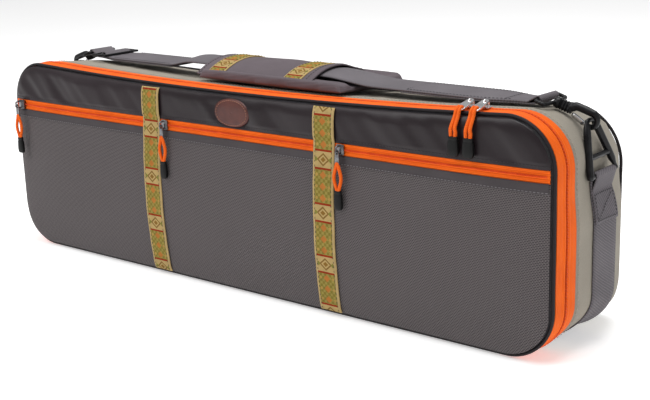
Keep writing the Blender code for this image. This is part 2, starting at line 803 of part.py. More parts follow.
def build():
    for obj in list(bpy.data.objects):
        bpy.data.objects.remove(obj)
    build_shell()
    hinge_strip("hinge_strip_body", ZIP_Y + GAP, ZIP_Y + TAPE_WIDTH)
    hinge_strip("hinge_strip_lid", FRONT_Y + PIPING + GAP, ZIP_Y - GAP)
    build_interior()
    build_lid()
    main_slider("main_zip_left", 0.2945)
    main_slider("main_zip_right", 0.3115)
    pocket_slider("pocket_left", -0.3780, 0.0024)
    pocket_slider("pocket_middle", -0.1080, 0.0)
    pocket_slider("pocket_right", 0.1540, 0.0)
    build_webbing()
    for name, side in (("right", 1), ("left", -1)):
        webbing_ring(name + "_ring", side)
        snap_hook(name, side)
    build_strap()
    build_pad()


build()
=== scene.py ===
"""Looks for the rod case: fabric, zips, webbing, pad and hardware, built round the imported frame."""

import math

import bmesh
import bpy
import numpy as np
from mathutils import Matrix, Vector, noise


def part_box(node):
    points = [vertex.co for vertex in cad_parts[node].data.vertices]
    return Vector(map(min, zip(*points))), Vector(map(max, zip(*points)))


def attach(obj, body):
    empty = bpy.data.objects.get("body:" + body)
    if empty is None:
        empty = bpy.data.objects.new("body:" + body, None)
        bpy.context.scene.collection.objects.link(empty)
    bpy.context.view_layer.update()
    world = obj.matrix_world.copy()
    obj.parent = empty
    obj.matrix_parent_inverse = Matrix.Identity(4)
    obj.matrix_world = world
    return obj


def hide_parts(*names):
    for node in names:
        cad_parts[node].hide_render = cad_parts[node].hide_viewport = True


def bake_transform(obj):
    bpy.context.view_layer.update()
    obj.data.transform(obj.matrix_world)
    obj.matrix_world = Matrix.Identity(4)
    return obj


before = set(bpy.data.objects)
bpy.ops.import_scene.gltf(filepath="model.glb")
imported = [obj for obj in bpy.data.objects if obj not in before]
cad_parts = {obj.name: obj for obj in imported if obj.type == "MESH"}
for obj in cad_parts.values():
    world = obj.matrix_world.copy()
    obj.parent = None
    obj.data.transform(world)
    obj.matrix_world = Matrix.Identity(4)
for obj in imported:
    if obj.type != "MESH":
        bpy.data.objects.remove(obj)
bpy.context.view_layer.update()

# The case's own sizes, in metres
LENGTH, HEIGHT = 0.800, 0.245
BACK_LENGTH, BACK_HEIGHT = 0.780, 0.228
FRONT_Y, BACK_Y = -0.0975, 0.061
FRONT_RADIUS, BACK_RADIUS = 0.054, 0.060
FRONT_SAG, BACK_SAG = 0.009, 0.006
SIDE_PUFF, TOP_PUFF, FACE_PUFF = 0.004, 0.003, 0.010
PIPING = 0.003
ZIP_Y = FRONT_Y + 0.020
TAPE_END = ZIP_Y + 0.017
FACE_INSET = 0.0048
POCKET_ZIP_Z, POCKET_ZIP_HEIGHT = 0.189, 0.014
STRIP_X, STRIP_WIDTH = 0.1313, 0.029
WEBBING_WIDTH, WEBBING_Y, WEBBING = 0.041, -0.0105, 0.0013
RING_BAR_X, RING_BAR_Z, RING_BAR = 0.4035, 0.176, 0.0022
STRAP_SKEW = math.radians(2.2)
STRAP_MIDDLE_Y, STRAP_Z, STRAP = -0.006, 0.2437, 0.0015
STRAP_WIDTH, STRAP_END_WIDTH = 0.055, 0.034
EYE_X, EYE_Z, EYE_BAR = 0.345, 0.2468, 0.0020
GLIDE_X = -0.316
HOOK_SLOPE = math.radians(18)
PAD_START_X, PAD_END_X, PAD_TRAVEL = -0.100, 0.125, 0.05
SLEEVE_START_X, SLEEVE_END_X = -0.104, 0.074
END_BULGE, CORNER_FILL, STRAP_RISE = 0.0120, 0.0085, 0.0105


def mix(start, end, share):
    return start + (end - start) * share


def bell(value, centre, width):
    return math.exp(-(((value - centre) / width) ** 2))


def smooth(value):
    """Eased step from 0 to 1."""
    value = min(1.0, max(0.0, value))
    return value * value * (3 - 2 * value)


def rough_noise(x, y, z, scale):
    return noise.noise(Vector((x * scale, y * scale, z * scale)))


# Materials ---------------------------------------------------------------------------------------------


class Paint:
    """Builds one procedural material."""

    def __init__(self, name, roughness, metallic=0.0, sheen=0.0, coat=0.0, specular=0.5):
        self.material = bpy.data.materials.new(name)
        self.material.use_nodes = True
        self.tree = self.material.node_tree
        self.shader = self.tree.nodes["Principled BSDF"]
        for socket, value in (
            ("Roughness", roughness),
            ("Metallic", metallic),
            ("Sheen Weight", sheen),
            ("Coat Weight", coat),
            ("Specular IOR Level", specular),
        ):
            self.shader.inputs[socket].default_value = value

    def node(self, kind, **settings):
        made = self.tree.nodes.new(kind)
        for name, value in settings.items():
            setattr(made, name, value)
        return made

    def plug(self, socket, value):
        if isinstance(value, bpy.types.NodeSocket):
            self.tree.links.new(value, socket)
        elif isinstance(value, tuple) and len(value) == 3 and socket.type == "RGBA":
            socket.default_value = (*value, 1.0)
        else:
            socket.default_value = value

    def math(self, operation, first, second=0.0, third=0.0):
        made = self.node("ShaderNodeMath", operation=operation)
        for socket, value in zip(made.inputs, (first, second, third)):
            self.plug(socket, value)
        return made.outputs[0]

    def coords(self, kind="UV"):
        return self.node("ShaderNodeTexCoord").outputs[kind]

    def axes(self, vector):
        made = self.node("ShaderNodeSeparateXYZ")
        self.plug(made.inputs[0], vector)
        return made.outputs

    def joined(self, x, y, z=0.0):
        made = self.node("ShaderNodeCombineXYZ")
        for socket, value in zip(made.inputs, (x, y, z)):
            self.plug(socket, value)
        return made.outputs[0]

    def cloud(self, vector, scale, detail=3.0, stretch=(1.0, 1.0, 1.0)):
        mapped = self.node("ShaderNodeMapping")
        self.plug(mapped.inputs["Vector"], vector)
        mapped.inputs["Scale"].default_value = stretch
        made = self.node("ShaderNodeTexNoise")
        self.plug(made.inputs["Vector"], mapped.outputs[0])
        made.inputs["Scale"].default_value = scale
        made.inputs["Detail"].default_value = detail
        return made.outputs[0]

    def ramp(self, value, low, high, to_low=0.0, to_high=1.0):
        made = self.node("ShaderNodeMapRange")
        for socket, number in zip(made.inputs, (value, low, high, to_low, to_high)):
            self.plug(socket, number)
        return made.outputs[0]

    def blend(self, share, first, second):
        made = self.node("ShaderNodeMix", data_type="RGBA")
        self.plug(made.inputs["Factor"], share)
        self.plug(made.inputs[6], first)
        self.plug(made.inputs[7], second)
        return made.outputs[2]

    def wave(self, value, pitch, shift=0.0):
        """A sine from 0 to 1 with the given pitch."""
        turned = self.math("MULTIPLY_ADD", value, 2 * math.pi / pitch, shift)
        return self.math("MULTIPLY_ADD", self.math("SINE", turned), 0.5, 0.5)

    def colour(self, value):
        self.plug(self.shader.inputs["Base Color"], value)

    def bump(self, height, distance, strength=1.0):
        made = self.node("ShaderNodeBump")
        made.inputs["Strength"].default_value = strength
        made.inputs["Distance"].default_value = distance
        self.plug(made.inputs["Height"], height)
        if self.shader.inputs["Normal"].is_linked:
            self.plug(made.inputs["Normal"], self.shader.inputs["Normal"].links[0].from_socket)
        self.plug(self.shader.inputs["Normal"], made.outputs[0])


def cloth(name, dark, light, roughness, pitch=0.0011, depth=0.00012, sheen=0.02, space="UV", twill=0.0):
    """Woven cloth: a fine weave, and slow changes of tone. Twill slants its ribs."""
    paint = Paint(name, roughness, sheen=sheen, specular=0.15)
    place = paint.coords(space)
    x, y, _ = paint.axes(place)
    if twill:
        slant = paint.math("MULTIPLY_ADD", x, twill, y)
        weave = paint.wave(slant, pitch)
    else:
        weave = paint.math("MULTIPLY", paint.wave(x, pitch), paint.wave(y, pitch))
    tone = paint.cloud(place, 16.0, 4.0)
    grain = paint.cloud(place, 700.0, 2.0)
    share = paint.math("MULTIPLY_ADD", weave, 0.30, paint.math("MULTIPLY", tone, 0.55))
    share = paint.math("MULTIPLY_ADD", grain, 0.25, share)
    paint.colour(paint.blend(paint.ramp(share, 0.2, 0.8), dark, light))
    paint.bump(weave, depth, 0.9)
    paint.bump(grain, depth * 0.7, 0.5)
    return paint.material


def coated(name, dark, light, roughness):
    """Smooth coated cloth with a soft sheen and faint rubbed streaks."""
    paint = Paint(name, roughness, sheen=0.01, specular=0.26)
    place = paint.coords("Object")
    x, y, z = paint.axes(place)
    streak = paint.cloud(place, 5.0, 5.0, (1.0, 1.0, 2.6))
    grain = paint.cloud(place, 900.0, 2.0)
    weave = paint.math("MULTIPLY", paint.wave(x, 0.0009), paint.wave(z, 0.0009))
    share = paint.math("MULTIPLY_ADD", grain, 0.3, paint.math("MULTIPLY", streak, 0.8))
    paint.colour(paint.blend(paint.ramp(share, 0.3, 0.8), dark, light))
    paint.plug(
        paint.shader.inputs["Roughness"], paint.ramp(streak, 0.3, 0.7, roughness - 0.06, roughness + 0.08)
    )
    paint.bump(weave, 0.00005, 0.6)
    paint.bump(paint.cloud(place, 60.0, 3.0), 0.0006, 0.25)
    return paint.material


def netting(name, dark, light):
    """Fine mesh: staggered open holes between threads, with a darker ground behind."""
    paint = Paint(name, 0.62, sheen=0.02, specular=0.15)
    place = paint.coords("UV")
    bricks = paint.node("ShaderNodeTexBrick", offset=0.5, squash=1.0)
    paint.plug(bricks.inputs["Vector"], place)
    bricks.inputs["Scale"].default_value = 1.0
    bricks.inputs["Brick Width"].default_value = 0.0027
    bricks.inputs["Row Height"].default_value = 0.0017
    bricks.inputs["Mortar Size"].default_value = 0.00050
    bricks.inputs["Mortar Smooth"].default_value = 0.6
    thread = bricks.outputs["Fac"]
    tone = paint.cloud(place, 9.0, 4.0)
    ground = paint.blend(paint.ramp(tone, 0.3, 0.7), dark, tuple(1.35 * c for c in dark))
    paint.colour(paint.blend(thread, ground, light))
    paint.bump(thread, 0.00035, 0.9)
    return paint.material


def zip_cloth(name, dark, light):
    """Zip tape: ribs along the tape and a fine cross weave."""
    paint = Paint(name, 0.60, specular=0.12)
    place = paint.coords("UV")
    x, y, _ = paint.axes(place)
    rib = paint.wave(y, 0.0017)
    tick = paint.wave(x, 0.0012)
    tone = paint.cloud(place, 30.0, 3.0)
    share = paint.math("MULTIPLY_ADD", rib, 0.35, paint.math("MULTIPLY", tick, 0.2))
    share = paint.math("MULTIPLY_ADD", tone, 0.45, share)
    paint.colour(paint.blend(paint.ramp(share, 0.2, 0.85), dark, light))
    paint.bump(rib, 0.00022, 0.8)
    paint.bump(tick, 0.0001, 0.6)
    return paint.material


def braid(name, dark, light):
    """Round braided cord."""
    paint = Paint(name, 0.6, specular=0.15)
    x, y, _ = paint.axes(paint.coords("UV"))
    left = paint.wave(paint.math("ADD", x, y), 0.0013)
    right = paint.wave(paint.math("SUBTRACT", x, y), 0.0013)
    over = paint.math("MULTIPLY", left, right)
    paint.colour(paint.blend(paint.ramp(over, 0.0, 0.55), dark, light))
    paint.bump(over, 0.00025, 0.9)
    return paint.material


def jacquard(name, first_band):
    """Patterned strip: a chequered green section with dots, then a pale section with a lozenge."""
    paint = Paint(name, 0.75, specular=0.10)
    across, along, _ = paint.axes(paint.coords("UV"))
    period, band = 0.0578, 0.0196
    place = paint.math("FLOORED_MODULO", paint.math("SUBTRACT", along, first_band), period)
    in_band = paint.math("LESS_THAN", place, band)
    side = paint.math("ABSOLUTE", across)

    cell = 0.0032
    row = paint.math("GREATER_THAN", paint.wave(along, 2 * cell), 0.5)
    column = paint.math("GREATER_THAN", paint.wave(across, 2 * cell), 0.5)
    check = paint.math("ABSOLUTE", paint.math("SUBTRACT", row, column))
    ground = paint.blend(check, (0.185, 0.145, 0.026), (0.265, 0.215, 0.052))
    pitch = 0.0126
    step = paint.math(
        "SUBTRACT", paint.math("FLOORED_MODULO", paint.math("SUBTRACT", place, band), pitch), pitch / 2
    )
    dot_size = paint.math("ADD", paint.math("ABSOLUTE", step), side)
    dot = paint.math("LESS_THAN", dot_size, 0.0044)
    ground = paint.blend(dot, ground, (0.400, 0.145, 0.030))
    speck = paint.math(
        "LESS_THAN",
        paint.math(
            "ADD", paint.math("ABSOLUTE", step), paint.math("ABSOLUTE", paint.math("SUBTRACT", side, 0.0085))
        ),
        0.0022
    )
    ground = paint.blend(speck, ground, (0.360, 0.225, 0.060))

    middle = paint.math("ABSOLUTE", paint.math("SUBTRACT", place, band / 2))
    spread = paint.math("MULTIPLY_ADD", side, 0.85, middle)
    inner = paint.math("LESS_THAN", spread, 0.0030)
    outline = paint.math("LESS_THAN", paint.math("ABSOLUTE", paint.math("SUBTRACT", spread, 0.0062)), 0.0011)
    wing = paint.math(
        "LESS_THAN",
        paint.math("MULTIPLY_ADD", paint.math("ABSOLUTE", paint.math("SUBTRACT", side, 0.0098)), 1.0, middle),
        0.0028
    )
    pale = paint.blend(inner, (0.400, 0.285, 0.115), (0.210, 0.110, 0.022))
    pale = paint.blend(outline, pale, (0.185, 0.100, 0.025))
    pale = paint.blend(wing, pale, (0.185, 0.170, 0.035))
    pattern = paint.blend(in_band, ground, pale)

    red = paint.math(
        "LESS_THAN",
        paint.math(
            "MINIMUM", paint.math("ABSOLUTE", paint.math("SUBTRACT", place, band)),
            paint.math("MINIMUM", place, paint.math("SUBTRACT", period, place))
        ),
        0.0011,
    )
    pattern = paint.blend(red, pattern, (0.250, 0.022, 0.006))
    pattern = paint.blend(paint.math("GREATER_THAN", side, 0.0114), pattern, (0.420, 0.300, 0.130))
    thread = paint.math("MULTIPLY", paint.wave(across, 0.0008), paint.wave(along, 0.0008))
    tone = paint.cloud(paint.coords("UV"), 120.0, 3.0)
    shade = paint.math("MULTIPLY_ADD", tone, 0.5, 0.72)
    multiplied = paint.node("ShaderNodeMix", data_type="RGBA", blend_type="MULTIPLY")
    multiplied.inputs["Factor"].default_value = 1.0
    paint.plug(multiplied.inputs[6], pattern)
    paint.plug(multiplied.inputs[7], paint.joined(shade, shade, shade))
    paint.colour(multiplied.outputs[2])
    paint.bump(thread, 0.00015, 0.8)
    paint.bump(paint.math("ADD", check, red), 0.0002, 0.5)
    return paint.material


def leather(name):
    paint = Paint(name, 0.46, coat=0.1, specular=0.4)
    place = paint.coords("Object")
    cells = paint.node("ShaderNodeTexVoronoi", feature="DISTANCE_TO_EDGE")
    paint.plug(cells.inputs["Vector"], place)
    cells.inputs["Scale"].default_value = 900.0
    grain = paint.ramp(cells.outputs["Distance"], 0.0, 0.25)
    tone = paint.cloud(place, 70.0, 4.0)
    paint.colour(paint.blend(paint.ramp(tone, 0.3, 0.7), (0.050, 0.009, 0.006), (0.092, 0.020, 0.012)))
    paint.bump(grain, 0.0001, 0.7)
    return paint.material


def plastic(name, tone, roughness, rubbed):
    """Moulded plastic with a fine grain and a slightly rubbed surface."""
    paint = Paint(name, roughness, specular=0.22)
    place = paint.coords("Object")
    grain = paint.cloud(place, 1400.0, 2.0)
    wear = paint.cloud(place, 90.0, 4.0)
    paint.colour(paint.blend(paint.ramp(wear, 0.45, 0.75), tone, rubbed))
    paint.plug(
        paint.shader.inputs["Roughness"], paint.ramp(wear, 0.3, 0.7, roughness - 0.08, roughness + 0.1)
    )
    paint.bump(grain, 0.00004, 0.5)
    return paint.material


def metal(name, tone, worn, roughness):
    paint = Paint(name, roughness, metallic=1.0)
    place = paint.coords("Object")
    scratch = paint.cloud(place, 300.0, 5.0, (1.0, 1.0, 9.0))
    wear = paint.cloud(place, 160.0, 3.0)
    paint.colour(paint.blend(paint.ramp(wear, 0.35, 0.7), tone, worn))
    paint.plug(
        paint.shader.inputs["Roughness"], paint.ramp(scratch, 0.3, 0.7, roughness * 0.8, roughness * 1.4)
    )
    paint.bump(scratch, 0.00003, 0.4)
    return paint.material


def foam(name, tone):
    paint = Paint(name, 0.9, specular=0.2)
    place = paint.coords("Object")
    cells = paint.node("ShaderNodeTexVoronoi")
    paint.plug(cells.inputs["Vector"], place)
    cells.inputs["Scale"].default_value = 700.0
    pore = cells.outputs["Distance"]
    # Darker towards each pore's middle: painted shade in the pore hollows.
    paint.colour(paint.blend(paint.ramp(pore, 0.0, 0.6), tuple(0.6 * c for c in tone), tone))
    paint.bump(pore, 0.0003, 0.7)
    return paint.material


SAGE = cloth("sage_weave", (0.235, 0.212, 0.175), (0.345, 0.315, 0.265), 0.80, 0.0010, 0.00010)
CHARCOAL = coated("charcoal_coated", (0.008, 0.0048, 0.0060), (0.021, 0.0135, 0.0165), 0.36)
MESH = netting("grey_netting", (0.020, 0.017, 0.018), (0.140, 0.122, 0.124))
HEM = cloth("hem_weave", (0.040, 0.034, 0.036), (0.078, 0.068, 0.072), 0.7)
TAPE = zip_cloth("orange_zip_tape", (0.62, 0.070, 0.004), (0.96, 0.170, 0.010))
TEETH = plastic("orange_coil", (0.62, 0.055, 0.006), 0.42, (0.80, 0.10, 0.012))
BEAD = cloth("piping_satin", (0.008, 0.006, 0.007), (0.022, 0.018, 0.020), 0.50, 0.0012, 0.0001, twill=0.8)
WEB = cloth("webbing_twill", (0.070, 0.063, 0.070), (0.165, 0.150, 0.163), 0.66, 0.0030, 0.00035, twill=0.62)
LEATHER = leather("brown_leather_grain")
PLASTIC = plastic("black_moulded", (0.004, 0.004, 0.005), 0.32, (0.011, 0.011, 0.012))
RUBBER = plastic("black_grip", (0.002, 0.002, 0.002), 0.5, (0.006, 0.006, 0.006))
SILVER = metal("polished_metal", (0.80, 0.80, 0.81), (0.62, 0.62, 0.63), 0.20)
GUN = metal("dark_nickel", (0.10, 0.10, 0.105), (0.28, 0.28, 0.29), 0.32)
CORD = braid("orange_braid", (0.66, 0.070, 0.004), (0.98, 0.200, 0.014))
PAD = cloth("pad_weave", (0.075, 0.060, 0.068), (0.145, 0.120, 0.133), 0.62, 0.0012, 0.00012, space="Object")
BINDING = cloth("binding_weave", (0.030, 0.028, 0.033), (0.075, 0.070, 0.080), 0.6, space="Object")
LINING = cloth("lining_weave", (0.060, 0.060, 0.068), (0.110, 0.110, 0.122), 0.75, space="Object")
FOAM = foam("charcoal_foam", (0.10, 0.10, 0.105))
THREAD = {
    "dark": cloth("dark_thread", (0.020, 0.018, 0.020), (0.060, 0.055, 0.060), 0.6, 0.0008),
    "grey": cloth("grey_thread", (0.150, 0.140, 0.145), (0.260, 0.245, 0.250), 0.6, 0.0008),
    "sage": cloth("sage_thread", (0.30, 0.28, 0.22), (0.46, 0.43, 0.36), 0.6, 0.0008),
    "tan": cloth("tan_thread", (0.30, 0.12, 0.07), (0.45, 0.22, 0.14), 0.6, 0.0008),
}


# Mesh helpers ------------------------------------------------------------------------------------------


def piece(name, points, faces, paint, uvs=None, smooth=True):
    """A mesh object from points and faces, with a UV for each point."""
    mesh = bpy.data.meshes.new(name)
    mesh.from_pydata([tuple(p) for p in points], [], faces)
    if uvs is not None:
        layer = mesh.uv_layers.new(name="UVMap")
        order = np.empty(len(mesh.loops), np.int32)
        mesh.loops.foreach_get("vertex_index", order)
        layer.data.foreach_set("uv", np.asarray(uvs, np.float32)[order].ravel())
    if smooth:
        mesh.shade_smooth()
    mesh.materials.append(paint)
    obj = bpy.data.objects.new(name, mesh)
    bpy.context.scene.collection.objects.link(obj)
    return obj


def sheet(name, grid, paint, thickness=0.0, closed=False, flip=False, offset=-1.0, uvs=None, rim=True):
    """A sheet over a grid of points, rows by columns. Closed joins the last column to the first."""
    grid = np.asarray(grid, float)
    rows, columns = grid.shape[:2]
    if closed:
        grid = np.concatenate([grid, grid[:, :1]], axis=1)
        columns += 1
    if uvs is None:
        along = np.linalg.norm(np.diff(grid, axis=1), axis=2).mean(axis=0)
        over = np.linalg.norm(np.diff(grid, axis=0), axis=2).mean(axis=1)
        u = np.concatenate([[0], np.cumsum(along)])
        v = np.concatenate([[0], np.cumsum(over)])
        uvs = np.stack(np.meshgrid(u, v), axis=2)
    faces = []
    for row in range(rows - 1):
        for column in range(columns - 1):
            corner = row * columns + column
            face = (corner, corner + 1, corner + columns + 1, corner + columns)
            faces.append(face[::-1] if flip else face)
    obj = piece(name, grid.reshape(-1, 3), faces, paint, np.asarray(uvs, float).reshape(-1, 2))
    if closed:
        weld(obj)
    if thickness:
        solid = obj.modifiers.new("thickness", "SOLIDIFY")
        solid.thickness = thickness
        solid.offset = offset
        solid.use_rim = rim
    return obj


def weld(obj, distance=1e-6):
    work = bmesh.new()
    work.from_mesh(obj.data)
    bmesh.ops.remove_doubles(work, verts=work.verts, dist=distance)
    work.to_mesh(obj.data)
    work.free()


def settled(obj):
    """The object with its modifiers applied."""
    bpy.context.view_layer.update()
    mesh = bpy.data.meshes.new_from_object(obj.evaluated_get(bpy.context.evaluated_depsgraph_get()))
    obj.modifiers.clear()
    if obj.type != "MESH":
        made = bpy.data.objects.new(obj.name, mesh)
        bpy.context.scene.collection.objects.link(made)
        made.matrix_world = obj.matrix_world
        name = obj.name
        bpy.data.objects.remove(obj)
        made.name = name
        return made
    obj.data = mesh
    return obj


def joined(name, pieces):
    """One object from several, with their modifiers applied and their materials kept."""
    bpy.context.view_layer.update()
    graph = bpy.context.evaluated_depsgraph_get()
    work = bmesh.new()
    paints = []
    for item in pieces:
        mesh = bpy.data.meshes.new_from_object(item.evaluated_get(graph))
        mesh.transform(item.matrix_world)
        if item.matrix_world.determinant() < 0:
            mesh.flip_normals()
        numbers = []
        for paint in mesh.materials:
            if paint not in paints:
                paints.append(paint)
            numbers.append(paints.index(paint))
        start = len(work.faces)
        work.from_mesh(mesh)
        work.faces.ensure_lookup_table()
        for face in work.faces[start:]:
            face.material_index = numbers[face.material_index]
        bpy.data.meshes.remove(mesh)
    for item in pieces:
        bpy.data.objects.remove(item)
    mesh = bpy.data.meshes.new(name)
    work.to_mesh(mesh)
    work.free()
    for paint in paints:
        mesh.materials.append(paint)
    obj = bpy.data.objects.new(name, mesh)
    bpy.context.scene.collection.objects.link(obj)
    return obj


def tube(name, path, radius, paint, sides=10, closed=False, flat=1.0, normal=None):
    """A round bar along a path. Radius is one number, or one for each point. flat squeezes it along its normal."""
    path = np.asarray(path, float)
    count = len(path)
    radii = np.full(count, radius) if np.isscalar(radius) else np.asarray(radius, float)
    ahead = np.roll(path, -1, axis=0) - path
    behind = path - np.roll(path, 1, axis=0)
    if not closed:
        ahead[-1], behind[0] = behind[-1], ahead[0]
    run = ahead / np.linalg.norm(ahead, axis=1)[:, None] + behind / np.linalg.norm(behind, axis=1)[:, None]
    run /= np.linalg.norm(run, axis=1)[:, None]
    side = np.array(normal if normal is not None else (0.0, 0.0, 1.0), float)
    if abs(run[0] @ side) > 0.9:
        side = np.array((1.0, 0.0, 0.0)) if abs(run[0][0]) < 0.9 else np.array((0.0, 1.0, 0.0))
    points, uvs = [], []
    distance = 0.0
    for index in range(count):
        side = side - run[index] * (side @ run[index])
        side /= np.linalg.norm(side)
        other = np.cross(run[index], side)
        if index:
            distance += np.linalg.norm(path[index] - path[index - 1])
        for step in range(sides + 1):
            turn = 2 * math.pi * step / sides
            points.append(path[index] + radii[index] * (side * flat * math.cos(turn) + other * math.sin(turn)))
            uvs.append((distance, radii[index] * turn))
    wide = sides + 1
    faces = []
    for index in range(count if closed else count - 1):
        near, far = index * wide, (index + 1) % count * wide
        for step in range(sides):
            faces.append((near + step, near + step + 1, far + step + 1, far + step))
    if not closed:
        faces.append(tuple(range(sides))[::-1])
        faces.append(tuple((count - 1) * wide + step for step in range(sides)))
    obj = piece(name, points, faces, paint, uvs)
    weld(obj, 1e-7)
    work = bmesh.new()
    work.from_mesh(obj.data)
    bmesh.ops.recalc_face_normals(work, faces=work.faces)
    work.to_mesh(obj.data)
    work.free()
    obj.data.set_sharp_from_angle(angle=math.radians(50))
    return obj


def smooth_path(points, steps=6, closed=False):
    """A Catmull-Rom curve through points."""
    points = [np.asarray(p, float) for p in points]
    count = len(points)
    result = []
    for index in range(count if closed else count - 1):
        a, b = points[(index - 1) % count], points[index]
        c, d = points[(index + 1) % count], points[(index + 2) % count]
        if not closed:
            a = points[max(0, index - 1)]
            d = points[min(count - 1, index + 2)]
        for step in range(steps):
            t = step / steps
            result.append(
                0.5 * (2 * b + (c - a) * t + (2 * a - 5 * b + 4 * c - d) * t**2 + (3 * b - a - 3 * c + d) * t**3)
            )
    if not closed:
        result.append(points[-1])
    return result


def stitches(name, path, paint, normal, length=0.0030, gap=0.0012, radius=0.00035, rise=0.0002):
    """A row of separate stitches along a path. Normal is one direction, or one for each point of the path."""
    path = np.asarray(path, float)
    normals = np.asarray(normal, float)
    if normals.ndim == 1:
        normals = np.tile(normals, (len(path), 1))
    steps = np.linalg.norm(np.diff(path, axis=0), axis=1)
    reach = np.concatenate([[0], np.cumsum(steps)])
    starts = np.arange(gap / 2, reach[-1] - length, length + gap)
    profile = ((0.0, 0.25, -0.4), (0.22, 1.0, 0.7), (0.78, 1.0, 0.7), (1.0, 0.25, -0.4))
    points, faces = [], []
    sides = 5
    for start in starts:
        first = len(points)
        for share, size, lift in profile:
            at = start + share * length
            middle = np.array([np.interp(at, reach, path[:, k]) for k in range(3)])
            up = np.array([np.interp(at, reach, normals[:, k]) for k in range(3)])
            beyond = np.array([np.interp(at + 1e-4, reach, path[:, k]) for k in range(3)]) - middle
            if not beyond.any():
                beyond = path[-1] - path[-2]
            across = np.cross(beyond, up)
            across /= np.linalg.norm(across)
            up = up / np.linalg.norm(up)
            for step in range(sides):
                turn = 2 * math.pi * step / sides
                offset = across * math.cos(turn) + up * (math.sin(turn) + lift)
                points.append(middle + offset * radius * size + up * rise * lift)
        for ring in range(len(profile) - 1):
            for step in range(sides):
                a, b = first + ring * sides + step, first + ring * sides + (step + 1) % sides
                faces.append((a, b, b + sides, a + sides))
        faces.append(tuple(first + step for step in range(sides))[::-1])
        faces.append(tuple(first + (len(profile) - 1) * sides + step for step in range(sides)))
    return piece(name, points, faces, paint, [(p[0] + p[1], p[2]) for p in points])


def soft_box(name, low, high, bevel, paint, segments=3):
    """A box between two corners with rounded edges."""
    work = bmesh.new()
    bmesh.ops.create_cube(work, size=1.0)
    low, high = Vector(low), Vector(high)
    bmesh.ops.scale(work, vec=high - low, verts=work.verts)
    bmesh.ops.translate(work, vec=(low + high) / 2, verts=work.verts)
    bmesh.ops.bevel(work, geom=list(work.edges), offset=bevel, segments=segments, affect="EDGES", profile=0.5)
    mesh = bpy.data.meshes.new(name)
    work.to_mesh(mesh)
    work.free()
    mesh.shade_smooth()
    mesh.set_sharp_from_angle(angle=math.radians(40))
    mesh.materials.append(paint)
    obj = bpy.data.objects.new(name, mesh)
    bpy.context.scene.collection.objects.link(obj)
    return obj


def lofted(name, rings, paint, corners=8, power=3.5):
    """A solid through rounded rectangles. Each ring is (centre, half size along X, half size along Y)."""
    sides = corners * 4
    points, faces = [], []
    for centre, half_x, half_y in rings:
        for step in range(sides):
            turn = 2 * math.pi * step / sides
            c, s = math.cos(turn), math.sin(turn)
            scale = (abs(c) ** power + abs(s) ** power) ** (-1 / power)
            points.append(Vector(centre) + Vector((half_x * c * scale, half_y * s * scale, 0)))
    for ring in range(len(rings) - 1):
        for step in range(sides):
            a, b = ring * sides + step, ring * sides + (step + 1) % sides
            faces.append((a, b, b + sides, a + sides))
    faces.append(tuple(range(sides))[::-1])
    faces.append(tuple((len(rings) - 1) * sides + step for step in range(sides)))
    obj = piece(name, points, faces, paint, [(p[0], p[2]) for p in points])
    work = bmesh.new()
    work.from_mesh(obj.data)
    bmesh.ops.recalc_face_normals(work, faces=work.faces)
    work.to_mesh(obj.data)
    work.free()
    return obj


def stamped(name, outline, holes, thickness, paint, matrix):
    """A thin plate with a rounded edge, cut from an outline with round holes (x, y, radius)."""
    curve = bpy.data.curves.new(name, "CURVE")
    curve.dimensions = "2D"
    curve.fill_mode = "BOTH"
    curve.extrude = thickness / 2 - 0.0002
    curve.bevel_depth = 0.0002
    curve.bevel_resolution = 2
    loops = [outline]
    for x, y, radius in holes:
        loops.append(
            [(
                x + radius * math.cos(a), y + radius * math.sin(a)
            ) for a in np.linspace(0, 2 * math.pi, 20, False)]
        )
    for loop in loops:
        spline = curve.splines.new("POLY")
        spline.points.add(len(loop) - 1)
        for point, (x, y) in zip(spline.points, loop):
            point.co = (x, y, 0, 1)
        spline.use_cyclic_u = True
    obj = bpy.data.objects.new(name, curve)
    bpy.context.scene.collection.objects.link(obj)
    curve.materials.append(paint)
    obj.matrix_world = matrix
    obj = settled(obj)
    obj.data.transform(obj.matrix_world)
    obj.matrix_world = Matrix.Identity(4)
    return obj


def place(obj, body, slot, *replaced):
    """Fixes a finished piece to its body and hides the CAD parts it replaces. Slot is not used."""
    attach(obj, body)
    if replaced:
        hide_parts(*replaced)
    return obj


# The case's shape --------------------------------------------------------------------------------------


def section(y):
    """Half length, height, corner radius and top sag of the case at depth y."""
    share = (y - FRONT_Y) / (BACK_Y - FRONT_Y)
    swell = max(0.0, 4 * share * (1 - share))
    half = mix(LENGTH / 2, BACK_LENGTH / 2, share) + SIDE_PUFF * swell
    high = mix(HEIGHT, BACK_HEIGHT, share) + TOP_PUFF * swell
    return half, high, mix(FRONT_RADIUS, BACK_RADIUS, share), mix(FRONT_SAG, BACK_SAG, share)


def top_z(x, y, inset=0.0):
    half, high, radius, sag = section(y)
    return high - inset - sag * (1 - min(1.0, abs(x) / (half - radius)) ** 2)


def stations(fine=1.0):
    """Places round the outline, anticlockwise from the left end of the bottom, as (part, share)."""
    parts = (("bottom", 40), (0, 14), ("right", 14), (1, 14), ("top", 90), (2, 14), ("left", 14), (3, 14))
    return [(part, step / int(n * fine)) for part, n in parts for step in range(int(n * fine))]


